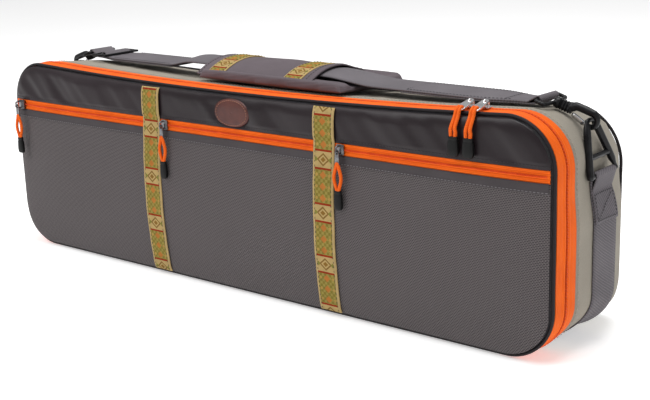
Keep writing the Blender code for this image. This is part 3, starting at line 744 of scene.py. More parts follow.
def fuller(x, y, z):
    """Pushes the ends out at mid height, and fills out the lower corners towards the back."""
    half, _, radius, _ = section(y)
    share = (y - FRONT_Y) / (BACK_Y - FRONT_Y)
    beyond = smooth((abs(x) - (half - radius)) / radius)
    out = END_BULGE * 2.6 * max(0.0, share) ** 1.5 * max(
        0.0, 1 - share
    ) ** 0.6 * smooth(z / 0.05) * smooth((0.176 - z) / 0.05) * beyond
    diagonal = 2 * min(
        1.0, max(0.0, (abs(x) - (half - radius)) / radius)
    ) * min(1.0, max(0.0, 1 - z / radius))
    fill = CORNER_FILL * smooth((y + 0.01) / 0.06) * diagonal**2
    return x + math.copysign(out + fill * 0.8, x), max(0.0012, z - fill * 0.6) if fill > 0 else z


def on_outline(part, share, y, inset):
    half, high, radius, _ = section(y)
    flat, bend = half - radius, radius - inset
    if part == "bottom":
        return mix(-flat, flat, share), inset
    if part == "right":
        return fuller(half - inset, y, mix(radius, high - radius, share))
    if part == "top":
        x = mix(flat, -flat, share)
        return x, top_z(x, y, inset)
    if part == "left":
        return fuller(inset - half, y, mix(high - radius, radius, share))
    turn = math.radians(-90 + 90 * part + 90 * share)
    middle_x = flat if part in (0, 1) else -flat
    middle_z = radius if part in (0, 3) else high - radius
    return fuller(middle_x + bend * math.cos(turn), y, middle_z + bend * math.sin(turn))


def outline_limits(y, inset):
    """Lowest and highest z of the outline as functions of x, and its half length."""
    points = [on_outline(part, share, y, inset) for part, share in stations(2.0)]
    low = sorted(p for p in points if p[1] < HEIGHT / 2)
    top = sorted(p for p in points if p[1] >= HEIGHT / 2)
    reach = min(low[-1][0], top[-1][0])
    return lambda x: (np.interp(x, *zip(*low)), np.interp(x, *zip(*top))), reach


def wall(name, depths, inset, paint, thickness, fine=1.0):
    """A closed wall round the case. inset(x, y, z, part, share) is how far it lies inside the outline."""
    grid = []
    for y in depths:
        row = []
        for part, share in stations(fine):
            x, z = on_outline(part, share, y, 0.0)
            x, z = on_outline(part, share, y, inset(x, y, z, part, share))
            row.append((x, y, z))
        grid.append(row)
    return sheet(name, grid, paint, thickness, closed=True, flip=True)


def roll(distance):
    """The padded front bulges a little just inside its rim."""
    return 0.0024 * (distance / 0.010) * math.exp(1 - distance / 0.010)


def face_limits(x, inset=FACE_INSET):
    half, high, radius, _ = section(FRONT_Y)
    beyond = abs(x) - (half - radius)
    if beyond <= 0:
        return inset, top_z(x, FRONT_Y, inset)
    drop = radius - math.sqrt(max(0.0, (radius - inset) ** 2 - beyond**2))
    return drop, high - drop


def rim_distance(x, z):
    """How far a point of the front lies inside its rim, near enough for a soft bulge."""
    half, high, radius, _ = section(FRONT_Y)
    low, top = face_limits(x, 0.0)
    beyond_x, beyond_z = abs(x) - (half - radius), max(radius - z, z - (high - radius))
    if beyond_x > 0 and beyond_z > 0:
        return max(0.0, radius - math.hypot(beyond_x, beyond_z) - FACE_INSET)
    return max(0.0, min(z - low, top - z, half - abs(x)) - FACE_INSET)


def face_y(x, z, lift):
    """Depth of the puffed front, lifted towards the front."""
    along = max(0.0, 1 - (abs(x) / (LENGTH / 2 - FACE_INSET)) ** 10)
    share = min(1.0, max(0.0, z / HEIGHT))
    up = 4 * share * (1 - share) * (1.35 - 0.7 * share)
    above = min(1.0, max(0.0, (z - 0.196) / 0.006))
    return FRONT_Y - FACE_PUFF * along * up - lift - roll(rim_distance(x, z)) * (0.35 + 0.65 * above)


def spread(start, end, steps):
    """Places from start to end, closer together at the ends."""
    return [mix(start, end, 0.5 - 0.5 * math.cos(math.pi * step / steps)) for step in range(steps + 1)]


def front_sheet(name, places, limits, lift, paint, thickness, rows, flip=False):
    """A sheet on the front. lift(x, z, share up) is the height of its outside."""
    grid = []
    for row in range(rows + 1):
        line = []
        for x in places:
            low, high = limits(x)
            z = mix(low, high, row / rows)
            line.append((x, face_y(x, z, lift(x, z, row / rows)), z))
        grid.append(line)
    uvs = [[(p[0], p[2]) for p in line] for line in grid]
    return sheet(name, grid, paint, thickness, flip=flip, uvs=uvs)


REACH = LENGTH / 2 - FACE_INSET - 0.0005


# Body: gusset, back, zip and lining --------------------------------------------------------------------


def gusset_inset(x, y, z, part, share):
    """Soft waves, a folded edge along the zip, and creases that run in from the back corners."""
    depth = (y - TAPE_END) / (BACK_Y - TAPE_END)
    fold = 0.0009 * bell(y, TAPE_END + 0.0030, 0.0022)
    wave = 0.0011 * rough_noise(x, y * 1.6, z, 13.0) * math.sin(math.pi * min(1.0, depth))
    crease = 0.0
    if part in (1, 2):
        for at, lean, size in ((0.18, 0.30, 0.9), (0.50, 0.22, 1.3), (0.82, 0.26, 1.0)):
            crease += size * 0.0011 * bell(share, at + lean * (1 - depth) * 0.5, 0.055) * depth**1.5
    if part == "top":
        for at, lean in ((0.115, 0.035), (0.885, -0.035), (0.26, 0.05)):
            crease += 0.0010 * bell(share, at + lean * depth, 0.012) * math.sin(math.pi * min(1.0, depth))
    seam = -0.0010 * bell(y, BACK_Y - 0.003, 0.004)
    return 0.0020 - fold - wave - crease - seam


def build_body():
    depths = list(np.linspace(TAPE_END + 0.0003, BACK_Y - 0.0036, 26))
    gusset = wall("gusset_cloth", depths, gusset_inset, SAGE, 0.0011)
    place(gusset, "case_body", "sage_fabric", "gusset")

    y = TAPE_END + 0.0036
    path, normals = [], []
    for part, share in stations(2.0):
        if part == "bottom" and 0.03 < share < 0.97:
            continue
        x, z = on_outline(part, share, y, 0.0)
        x, z = on_outline(part, share, y, gusset_inset(x, y, z, part, share))
        outer = on_outline(part, share, y, -0.01)
        path.append((x, y, z))
        normals.append((outer[0] - x, 0.0, outer[1] - z))
    start = next(i for i, (part, share) in enumerate(stations(2.0)) if part == "bottom" and share >= 0.97)
    kept = sum(1 for part, share in stations(2.0)[:start] if not (part == "bottom" and 0.03 < share < 0.97))
    path, normals = path[kept:] + path[:kept], normals[kept:] + normals[:kept]
    row = stitches("gusset_front_stitches", path, THREAD["sage"], normals, 0.0034, 0.0016, 0.00038)
    place(row, "case_body", "sage_fabric")

    grid = []
    limits, limit = outline_limits(BACK_Y, 0.0030)
    for row in range(41):
        line = []
        for x in spread(-limit, limit, 80):
            low, top = limits(x)
            share = row / 40
            z = mix(low, top, share)
            dome = (1 - (x / limit) ** 8) * (1 - (2 * share - 1) ** 6)
            wave = rough_noise(x, 3.0, z, 9.0)
            line.append((x, BACK_Y - 0.0020 + 0.0016 * dome + 0.0008 * wave * dome, z))
        grid.append(line)
    uvs = [[(p[0], p[2]) for p in line] for line in grid]
    back = sheet("back_cloth", grid, SAGE, 0.0012, flip=True, uvs=uvs)
    place(back, "case_body", "sage_fabric", "back_panel")

    path = [(x, BACK_Y + 0.0006, z) for x, z in (on_outline(p, s, BACK_Y, 0.0020) for p, s in stations(1.5))]
    radii = [0.0017 * (1 + 0.05 * rough_noise(x, y, z, 40.0)) for x, y, z in path]
    bead = tube("back_piping_cord", path, radii, BEAD, 12, closed=True, normal=(0, 1, 0))
    place(bead, "case_body", "dark_piping", "back_piping")

    lining = wall(
        "body_lining_cloth",
        list(np.linspace(ZIP_Y + 0.0028, 0.0478, 14)),
        lambda x, y, z, part, share: 0.0080 + 0.0005 * abs(rough_noise(x, y, z, 16.0)),
        LINING,
        0.0008,
        0.6,
    )
    place(lining, "case_body", "lining", "body_lining")
    floor = padded_panel("back_lining_quilt", 0.0484, 0.0090, BACK_Y - 0.012, 1.0)
    place(floor, "case_body", "lining", "back_lining")
    for node in ("wall_stiffener", "back_stiffener", "lid_stiffener"):
        repaint(node, FOAM)


def repaint(node, paint):
    """A new material on a CAD node whose shape is kept."""
    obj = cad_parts[node]
    obj.data.materials.clear()
    obj.data.materials.append(paint)


def padded_panel(name, y, inset, at, side):
    """A quilted lining panel that fills the outline, puffed between its sewn channels."""
    half, high, radius, _ = section(at)
    limit = half - inset
    grid = []
    for row in range(37):
        line = []
        for x in spread(-limit, limit, 96):
            beyond = abs(x) - (half - radius)
            drop = inset
            if beyond > 0:
                drop = radius - math.sqrt(max(0.0, (radius - inset) ** 2 - beyond**2))
            z = mix(drop, high - 0.0085 - drop, row / 36)
            quilt = abs(math.sin(math.pi * (x + z) / 0.055) * math.sin(math.pi * (x - z) / 0.055)) ** 0.5
            line.append((x, y - side * 0.0006 * quilt, z))
        grid.append(line)
    uvs = [[(p[0], p[2]) for p in line] for line in grid]
    return sheet(name, grid, LINING, 0.0005, flip=side < 0, uvs=uvs)


def zip_profile(distance):
    """How far a main zip tape stands out, from the line where the two tapes meet."""
    ridge = 0.0011 * bell(distance, 0.0034, 0.0021)
    second = 0.0005 * bell(distance, 0.0098, 0.0030)
    return ridge + second - 0.0006 * bell(distance, 0.0, 0.0012)


def build_main_zip():
    for name, body, start, end, node in (
        ("body_tape", "case_body", ZIP_Y + 0.0002, TAPE_END + 0.0018, "body_zip_tape"),
        ("lid_tape", "lid", ZIP_Y - 0.0002, FRONT_Y + PIPING + 0.0006, "lid_zip_tape"),
    ):
        depths = sorted(np.linspace(start, end, 18))

        def lie(x, y, z, part, share):
            wave = 0.0003 * rough_noise(x, y, z, 30.0)
            tuck = 0.0014 * min(1.0, max(0.0, (y - TAPE_END + 0.0004) / 0.0006))
            return 0.0016 - zip_profile(abs(y - ZIP_Y)) - wave + tuck

        tape = wall(name, depths, lie, TAPE, 0.0009)
        place(tape, body, "orange_tape", node)

    line = [on_outline(part, share, ZIP_Y, 0.0) for part, share in stations(4.0)]
    ends = [index for index, (x, z) in enumerate(line) if z < 0.001 and abs(x) < 0.330]
    line = line[max(ends) + 1 :] + line[: min(ends)]
    outer = [on_outline(part, share, ZIP_Y, -0.01) for part, share in stations(4.0)]
    outer = outer[max(ends) + 1 :] + outer[: min(ends)]
    line, outer = np.array(line), np.array(outer)
    reach = np.concatenate([[0], np.cumsum(np.linalg.norm(np.diff(line, axis=0), axis=1))])
    pitch = 0.0018
    rows = {"case_body": ([], []), "lid": ([], [])}
    for number, at in enumerate(np.arange(0.0, reach[-1], pitch)):
        body = "case_body" if number % 2 else "lid"
        side = 1 if number % 2 else -1
        points, faces = rows[body]
        here = np.array([np.interp(at, reach, line[:, k]) for k in (0, 1)])
        up = np.array([np.interp(at, reach, outer[:, k]) for k in (0, 1)]) - here
        up /= np.linalg.norm(up)
        run = np.array((up[1], -up[0]))
        first = len(points)
        for step in range(4):
            y = ZIP_Y + side * mix(-0.0009, 0.0020, step / 3)
            high = -0.0012 + 0.0006 * math.sin(math.pi * (step + 0.6) / 4.2)
            for turn in range(6):
                angle = 2 * math.pi * turn / 6
                x, z = here + up * (high + 0.00048 * math.sin(angle)) + run * 0.00052 * math.cos(angle)
                points.append((x, y, z))
        for step in range(3):
            for turn in range(6):
                a, b = first + step * 6 + turn, first + step * 6 + (turn + 1) % 6
                faces.append((a, b, b + 6, a + 6))
        faces.append(tuple(first + turn for turn in range(6))[::-1])
        faces.append(tuple(first + 18 + turn for turn in range(6)))
    for body, (points, faces) in rows.items():
        teeth = piece(f"zip_teeth_{body}", points, faces, TEETH, [(p[0], p[2]) for p in points])
        place(teeth, body, "orange_tape")


def build_hinge():
    """The fabric hinge along the bottom front edge, built as one flat strip."""
    half = LENGTH / 2 - FRONT_RADIUS - 0.008
    grid = []
    for y in np.linspace(FRONT_Y + PIPING + 0.0003, TAPE_END, 25):
        rise = 0.0004 * rough_noise(0.3, y, 0.2, 60.0)
        grid.append([(x, y, 0.0002 + abs(rise)) for x in spread(-half, half, 60)])
    strip = settled(sheet("hinge_cloth", grid, BEAD, 0.0009, offset=1.0))
    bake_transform(strip)
    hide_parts("hinge_strip_body", "hinge_strip_lid")


def padded_board(name, low, high, paint, axis, crown):
    """A padded divider: thick in its middle, thinner at its bound edges."""
    low, high = np.array(low), np.array(high)
    work = bmesh.new()
    bmesh.ops.create_cube(work, size=1.0)
    bmesh.ops.subdivide_edges(work, edges=work.edges, cuts=17, use_grid_fill=True)
    others = [k for k in range(3) if k != axis]
    for vertex in work.verts:
        share = np.array(vertex.co) * 2
        edge = max(abs(share[others[0]]), abs(share[others[1]]))
        thin = 1 - crown * edge**6
        puff = 1 - 0.12 * abs(math.sin(9 * share[others[0]] + 4 * share[others[1]]))
        share[axis] *= thin * puff
        vertex.co = Vector((low + high) / 2 + share * (high - low) / 2)
    mesh = bpy.data.meshes.new(name)
    work.to_mesh(mesh)
    work.free()
    mesh.shade_smooth()
    mesh.materials.append(paint)
    obj = bpy.data.objects.new(name, mesh)
    bpy.context.scene.collection.objects.link(obj)
    return obj


def build_inside():
    low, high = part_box("long_divider")
    board = padded_board("long_divider_pad", low, high, LINING, 2, 0.45)
    place(board, "case_body", "lining", "long_divider")
    path = [(x, low.y + 0.0012, (low.z + high.z) / 2) for x in np.linspace(low.x + 0.002, high.x - 0.002, 60)]
    edge = tube("long_divider_binding", path, 0.0020, BINDING, 8)
    place(edge, "case_body", "dark_piping")
    for number in (1, 2):
        low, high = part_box(f"short_divider_{number}")
        high.z -= 0.0022
        board = padded_board(f"short_divider_pad_{number}", low, high, LINING, 0, 0.45)
        place(board, "case_body", "lining", f"short_divider_{number}")
        path = [(
            (low.x + high.x) / 2, low.y + 0.0012, z
        ) for z in np.linspace(low.z + 0.003, high.z - 0.002, 30)]
        edge = tube(f"short_divider_binding_{number}", path, 0.0020, BINDING, 8)
        place(edge, "case_body", "dark_piping")


# Lid: cover, mesh, pocket zips, strips and patch -------------------------------------------------------


ZIP_LOW = POCKET_ZIP_Z - POCKET_ZIP_HEIGHT / 2
ZIP_HIGH = POCKET_ZIP_Z + POCKET_ZIP_HEIGHT / 2


def cover_lift(x, z, share):
    """Slanting wrinkles in the coated panel, which laps over the top edge of the pocket zips."""
    slant = (x + z * 0.9) * 30.0
    wrinkle = noise.noise(Vector((slant, (z - x * 0.25) * 7.0, 1.7)))
    fine = noise.noise(Vector((slant * 2.3, (z - x * 0.2) * 10.0, 6.1)))
    edge = min(1.0, rim_distance(x, z) / 0.012)
    above = min(1.0, max(0.0, (z - ZIP_HIGH) / 0.006))
    return 0.0031 + edge * above * (0.0026 * wrinkle + 0.0009 * fine)


def build_cover():
    places = spread(-REACH, REACH, 220)
    upper = lambda x: (ZIP_HIGH - 0.0008, face_limits(x)[1])
    cover = front_sheet("lid_cover_cloth", places, upper, cover_lift, CHARCOAL, 0.0012, 40)
    place(cover, "lid", "charcoal_fabric", "lid_cover")
    lower = lambda x: (face_limits(x)[0], ZIP_HIGH + 0.0012)
    backing = front_sheet(
        "lid_cover_backing", places, lower, lambda x, z, share: 0.0011, CHARCOAL, 0.0009, 50
    )
    place(backing, "lid", "charcoal_fabric")

    def netting_lift(x, z, share):
        sag = 0.0005 * rough_noise(x, 1.0, z, 11.0)
        channel = 0.0006 * (bell(
            abs(x), STRIP_X - STRIP_WIDTH / 2 - 0.004, 0.006
        ) + bell(abs(x), STRIP_X + STRIP_WIDTH / 2 + 0.004, 0.006))
        return 0.0029 + sag - channel

    limits = lambda x: (face_limits(x)[0], ZIP_LOW - 0.0002)
    net = front_sheet("mesh_pockets", places, limits, netting_lift, MESH, 0.0009, 60)
    place(net, "lid", "grey_mesh", "mesh_panel")

    wide = spread(-REACH + 0.001, REACH - 0.001, 160)
    hem_low = ZIP_LOW - 0.0098
    hem = front_sheet(
        "mesh_hem",
        wide,
        lambda x: (hem_low, ZIP_LOW + 0.0006),
        lambda x, z, share: 0.0034 + 0.0004 * math.sin(math.pi * share) + 0.0003 * rough_noise(
            x, 2.0, z, 22.0
        ),
        HEM,
        0.0006,
        6,
    )
    place(hem, "lid", "grey_mesh")
    z = hem_low + 0.0016
    path = [(x, face_y(x, z, 0.0037), z) for x in wide]
    row = stitches("mesh_hem_stitches", path, THREAD["grey"], (0, -1, 0), 0.0026, 0.0014, 0.00034)
    place(row, "lid", "grey_mesh")
    z = ZIP_HIGH + 0.0028
    path = [(x, face_y(x, z, cover_lift(x, z, 0)), z) for x in wide]
    row = stitches("cover_edge_stitches", path, THREAD["dark"], (0, -1, 0), 0.0026, 0.0014, 0.00030)
    place(row, "lid", "charcoal_fabric")

    path = [
        (x, FRONT_Y + 0.0006, z) for x, z in (on_outline(p, s, FRONT_Y, 0.0026) for p, s in stations(2.0))
    ]
    radii = [0.0018 * (1 + 0.04 * rough_noise(x, y, z, 50.0)) for x, y, z in path]
    bead = tube("front_piping_cord", path, radii, BEAD, 14, closed=True, normal=(0, 1, 0))
    place(bead, "lid", "dark_piping", "front_piping")

    lining = front_sheet(
        "lid_lining_cloth",
        spread(-REACH, REACH, 120),
        face_limits,
        lambda x, z, share: -0.0056,
        LINING,
        0.0008,
        36,
    )
    place(lining, "lid", "lining", "lid_lining")


def build_pocket_zips():
    def lift(x, z, share):
        up = z - POCKET_ZIP_Z
        ribs = 0.0010 * (bell(up, 0.0044, 0.0018) + bell(
            up, -0.0046, 0.0018
        )) + 0.0009 * bell(up, 0.0, 0.0013)
        return 0.0020 + ribs + 0.0002 * rough_noise(x, 0.0, z, 30.0)

    edge = STRIP_X + STRIP_WIDTH / 2
    near = STRIP_X - STRIP_WIDTH / 2
    runs = (
        ("left", -REACH + 0.0005, -edge + 0.004), ("middle", -near - 0.004, near + 0.004),
        ("right", edge - 0.004, REACH - 0.0005)
    )
    for name, start, end in runs:
        steps = 90
        limits = lambda x: (ZIP_LOW, ZIP_HIGH + 0.0006)
        tape = front_sheet(f"pocket_tape_{name}", spread(start, end, steps), limits, lift, TAPE, 0.0008, 26)
        place(tape, "lid", "orange_tape", f"pocket_zip_{name}")
        path = [(
            x, face_y(x, POCKET_ZIP_Z, 0.0030), POCKET_ZIP_Z
        ) for x in np.arange(start + 0.002, end - 0.002, 0.0006)]
        coil = stitches(f"pocket_coil_{name}", path, TEETH, (0, -1, 0), 0.0011, 0.0006, 0.0011, 0.0)
        place(coil, "lid", "orange_tape")


def strip_sheet(name, rows, across, paint, thickness):
    """A narrow strip through rows of points, with its UV across from the middle and along in metres."""
    grid = np.asarray(rows, float)
    length = np.concatenate([[0], np.cumsum(np.linalg.norm(np.diff(grid.mean(axis=1), axis=0), axis=1))])
    uvs = [[(offset, at) for offset in across] for at in length]
    return sheet(name, grid, paint, thickness, uvs=uvs)


def build_trim():
    half = STRIP_WIDTH / 2
    across = [
        -half, -half + 0.0006, -half + 0.0020, -half + 0.005, 0, half - 0.005, half - 0.0020, half - 0.0006,
        half
    ]
    for name, middle, first_band in (("left", -STRIP_X, 0.1732), ("right", STRIP_X, 0.1670)):
        low = face_limits(middle)[0] + 0.0006
        high = face_limits(middle)[1] - 0.0006
        rows = []
        for z in np.linspace(low, high, 130):
            lap = 0.0010 * min(1.0, max(0.0, (z - ZIP_HIGH) / 0.003))
            wave = 0.0004 * rough_noise(middle, 4.0, z, 60.0)
            line = []
            for offset in across:
                shift = 0.0005 * rough_noise(0.0, 9.0, z, 45.0)
                edge = max(0.0, (abs(offset) - half + 0.0012) / 0.0012)
                x = middle + offset + shift
                line.append((x, face_y(x, z, 0.0047 + lap + wave - 0.0010 * edge**2), z))
            rows.append(line)
        paint = jacquard(f"jacquard_{name}", first_band - low - 0.0578 * 4)
        strip = strip_sheet(f"trim_{name}_cloth", rows, across, paint, 0.0013)
        place(strip, "lid", "jacquard", f"trim_strip_{name}")
        for side in (-1, 1):
            x = middle + side * (half - 0.0033)
            path = []
            for z in np.linspace(low, high, 130):
                lap = 0.0010 * min(1.0, max(0.0, (z - ZIP_HIGH) / 0.003))
                wave = 0.0004 * rough_noise(middle, 4.0, z, 60.0)
                shift = 0.0005 * rough_noise(0.0, 9.0, z, 45.0)
                path.append((x + shift, face_y(x, z, 0.0047 + lap + wave), z))
            row = stitches(
                f"trim_{name}_stitches_{'near' if side > 0 else 'far'}", path, THREAD["dark"], (0, -1, 0),
                0.0026, 0.0026, 0.00032, 0.0
            )
            place(row, "lid", "jacquard")


def build_patch():
    half_wide, half_tall, middle_z = 0.0262, 0.0158, 0.2130
    sides, rings = 72, 12
    grid = []
    for ring in range(rings + 1):
        share = ring / rings
        line = []
        for step in range(sides):
            turn = 2 * math.pi * step / sides
            c, s = math.cos(turn), math.sin(turn)
            scale = (abs(c) ** 2.15 + abs(s) ** 2.15) ** (-1 / 2.15)
            x = half_wide * max(share, 0.001) * c * scale
            z = middle_z + half_tall * max(share, 0.001) * s * scale
            sunk = 0.0004 * bell(share, 0.87, 0.05)
            edge = 0.0010 * max(0.0, (share - 0.92) / 0.08) ** 2
            line.append((x, face_y(x, z, 0.0052 - sunk - edge), z))
        grid.append(line)
    uvs = [[(p[0], p[2]) for p in line + line[:1]] for line in grid]
    patch = sheet("patch_leather", grid, LEATHER, 0.0018, closed=True, uvs=uvs, flip=True)
    place(patch, "lid", "brown_leather", "leather_patch")
    path = []
    for turn in np.linspace(0, 2 * math.pi, 121):
        c, s = math.cos(turn), math.sin(turn)
        scale = 0.87 * (abs(c) ** 2.15 + abs(s) ** 2.15) ** (-1 / 2.15)
        x, z = half_wide * c * scale, middle_z + half_tall * s * scale
        path.append((x, face_y(x, z, 0.0050), z))
    row = stitches("patch_stitches", path, THREAD["tan"], (0, -1, 0), 0.0019, 0.0013, 0.00032)
    place(row, "lid", "brown_leather")


# Sliders and pulls -------------------------------------------------------------------------------------


def pull_cord(name, top, bottom, half_gap, radius, side, belly=0.0):
    """The closed loop of a pull between its tab and its grip; belly opens its middle."""
    top, bottom, side = np.array(top), np.array(bottom), np.array(side)
    run = (bottom - top) / np.linalg.norm(bottom - top)
    path = []
    count = 40
    length = np.linalg.norm(bottom - top)
    for step in range(count):
        turn = 2 * math.pi * step / count
        share = 0.5 - 0.5 * math.cos(turn)
        open_by = half_gap * abs(math.sin(turn)) ** 0.6 + belly * math.sin(math.pi * share) ** 2
        path.append(top + run * length * share + side * open_by * (1 if math.sin(turn) >= 0 else -1))
    return tube(name, path, radius, CORD, 10, closed=True, normal=(0, 1, 0))


def grip(name, top, bottom, half_x, half_y):
    """A moulded grip: a collar, a waisted ribbed body and a rounded end."""
    top, bottom = Vector(top), Vector(bottom)
    profile = [
        (0.0, 0.55), (
            0.015, 0.78
        ), (0.05, 0.84), (0.14, 0.86), (0.17, 0.78), (0.20, 0.80), (0.27, 0.93), (0.32, 0.90),
        (
            0.36, 0.96
        ), (
            0.42, 0.93
        ), (0.46, 0.99), (0.52, 0.96), (0.56, 1.0), (0.75, 1.0), (0.90, 0.94), (0.97, 0.80), (1.0, 0.55),
    ]
    rings = [(top.lerp(bottom, share), half_x * size, half_y * size) for share, size in profile]
    return lofted(name, rings, RUBBER)


def keyhole(near, far, length, hole, eye):
    """Outline of a pull tab that widens towards the cord, and its holes."""
    outline = []
    for turn in np.linspace(math.pi / 2, -math.pi / 2, 10):
        outline.append((length - far + far * math.cos(turn), far * math.sin(turn)))
    for turn in np.linspace(-math.pi / 2, -3 * math.pi / 2, 10):
        outline.append((-0.001 + near * math.cos(turn), near * math.sin(turn)))
    return outline, [(length - far, 0.0, hole), (0.0, 0.0, eye)]


def build_main_pulls():
    for name, x in (("left", 0.2945), ("right", 0.3115)):
        node = f"main_zip_{name}"
        low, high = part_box(node + "_slider")
        base = low.z - 0.0002
        items = [
            soft_box("a", (x - 0.0054, low.y, base), (x + 0.0054, high.y, base + 0.0016), 0.0007, SILVER),
            soft_box(
                "b", (x - 0.0042, low.y - 0.0012, base + 0.0002), (x + 0.0042, high.y - 0.004, base + 0.0017),
                0.0006, SILVER
            ),
        ]
        arch = [
            (x, ZIP_Y - 0.0048, base + 0.0010), (x, ZIP_Y - 0.0050, base + 0.0052),
            (x, ZIP_Y - 0.0030, base + 0.0078), (x, ZIP_Y + 0.0012, base + 0.0072),
            (x, ZIP_Y + 0.0040, base + 0.0048), (x, ZIP_Y + 0.0042, base + 0.0010)
        ]
        items.append(tube("c", smooth_path(arch, 5), 0.0011, SILVER, 10, normal=(1, 0, 0)))
        slider = joined(f"main_slider_{name}", items)
        place(slider, f"main_zip_{name}", "bright_metal", node + "_slider")

        low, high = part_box(node + "_tab")
        hinge = Vector((x, ZIP_Y - 0.0030, top_z(x, ZIP_Y) + 0.0066))
        slope = math.radians(14)
        forward = Vector((0, -math.cos(slope), -math.sin(slope)))
        across = Vector((1, 0, 0))
        up = across.cross(forward)
        matrix = Matrix((forward, across, up)).transposed().to_4x4()
        matrix.translation = hinge
        outline, holes = keyhole(0.0036, 0.0054, 0.0210, 0.0032, 0.0017)
        tab = stamped(f"main_tab_{name}", outline, holes, 0.0015, SILVER, matrix)
        place(tab, f"main_pull_{name}", "bright_metal", node + "_tab")

        hole = hinge + forward * 0.0160
        low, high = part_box(node + "_grip")
        top = Vector((x, (low.y + high.y) / 2, high.z))
        strands = []
        for side in (-1, 1):
            route = [
                hole + Vector((side * 0.0012, 0.0004, -0.0026)),
                hole + forward * 0.0014 + Vector((side * 0.0016, 0, 0.0014)),
                hole + forward * 0.0062 + Vector((side * 0.0017, 0, 0.0000)),
                hole + forward * 0.0080 + Vector((side * 0.0018, -0.0004, -0.0050)),
                top + Vector((side * 0.0021, 0, 0.0090)),
                top + Vector((side * 0.0026, 0, 0.0040)),
                top + Vector((side * 0.0020, 0, -0.0030)),
            ]
            strands.append(tube(f"s{side}", smooth_path(route, 6), 0.0019, CORD, 10, normal=(0, 1, 0)))
        cord = joined(f"main_cord_{name}", strands)
        place(cord, f"main_pull_{name}", "orange_cord", node + "_cord")
        end = grip(f"main_grip_{name}", top, (top.x, top.y, low.z), 0.0062, 0.0030)
        place(end, f"main_pull_{name}", "black_plastic", node + "_grip")


def build_pocket_pulls():
    for name in ("left", "middle", "right"):
        node = f"pocket_{name}"
        low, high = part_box(node + "_slider")
        x = (low.x + high.x) / 2
        z = POCKET_ZIP_Z
        seat = face_y(x, z, 0.0034)
        front = low.y
        items = [
            soft_box(
                "a", (x - 0.0048, front + 0.0016, z - 0.0056), (x + 0.0048, seat, z + 0.0056), 0.0010, GUN
            ),
            soft_box(
                "b", (x - 0.0036, front + 0.0010, z - 0.0040), (x + 0.0036, front + 0.0030, z + 0.0062),
                0.0007, GUN
            ),
        ]
        hang = (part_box(node + "_tab")[0].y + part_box(node + "_tab")[1].y) / 2
        arch = [
            (x, front + 0.0020, z + 0.0046), (x, hang - 0.0010, z + 0.0040), (x, hang - 0.0020, z + 0.0008),
            (x, hang - 0.0018, z - 0.0026), (x, front + 0.0016, z - 0.0040)
        ]
        items.append(tube("c", smooth_path(arch, 5), 0.0010, GUN, 10, normal=(1, 0, 0)))
        slider = joined(f"pocket_slider_{name}", items)
        place(slider, f"pocket_{name}_zip", "gun_metal", node + "_slider")

        matrix = Matrix((Vector((0, 0, -1)), Vector((1, 0, 0)), Vector((0, -1, 0)))).transposed().to_4x4()
        matrix.translation = Vector((x, hang, z - 0.0020))
        outline, holes = keyhole(0.0021, 0.0029, 0.0150, 0.0016, 0.0012)
        tab = stamped(f"pocket_tab_{name}", outline, holes, 0.0013, GUN, matrix)
        place(tab, f"pocket_{name}_pull", "gun_metal", node + "_tab")
        low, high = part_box(node + "_grip")
        top = (x, hang - 0.0003, z - 0.0135)
        bottom = (x, hang - 0.0003, high.z - 0.0010)
        cord = pull_cord(f"pocket_cord_{name}", top, bottom, 0.0017, 0.0019, (1, 0, 0), 0.0030)
        place(cord, f"pocket_{name}_pull", "orange_cord", node + "_cord")
        end = grip(f"pocket_grip_{name}", (x, hang, high.z + 0.001), (x, hang, low.z), 0.0049, 0.0029)
        place(end, f"pocket_{name}_pull", "black_plastic", node + "_grip")


# Support webbing, rings and hooks ----------------------------------------------------------------------


def end_path():
    """Right half of the support webbing in X and Z: from the base up the end, and over the ring's bar."""
    half, _, radius, _ = section(WEBBING_Y)
    inset = WEBBING / 2
    path = [(x, inset) for x in np.linspace(0.0, half - radius, 30)]
    for step in range(1, 17):
        turn = math.radians(-90 + 90 * step / 16)
        bend = radius - inset
        path.append((half - radius + bend * math.cos(turn), radius + bend * math.sin(turn)))
    top = RING_BAR_Z - 0.022
    path += [(half - inset, z) for z in np.linspace(path[-1][1], top, 14)[1:]]
    round_bar = RING_BAR + 0.0006 + WEBBING / 2
    for step in range(17):
        turn = math.radians(180 - 180 * step / 16)
        path.append((RING_BAR_X + round_bar * math.cos(turn), RING_BAR_Z + round_bar * math.sin(turn)))
    outside = half - inset + WEBBING + 0.0006
    path += [(outside, z) for z in np.linspace(RING_BAR_Z - 0.016, RING_BAR_Z - 0.048, 8)]
    return path


def webbing_place(x, y, z):
    y += WEBBING_Y
    half = section(WEBBING_Y)[0]
    lying = min(1.0, max(0.0, (RING_BAR_Z - 0.010 - z) / 0.016))
    spread_by = (section(y)[0] - half) * min(1.0, abs(x) / half) * lying
    x, z = fuller(x + math.copysign(spread_by, x), y, z)
    return x, y, z


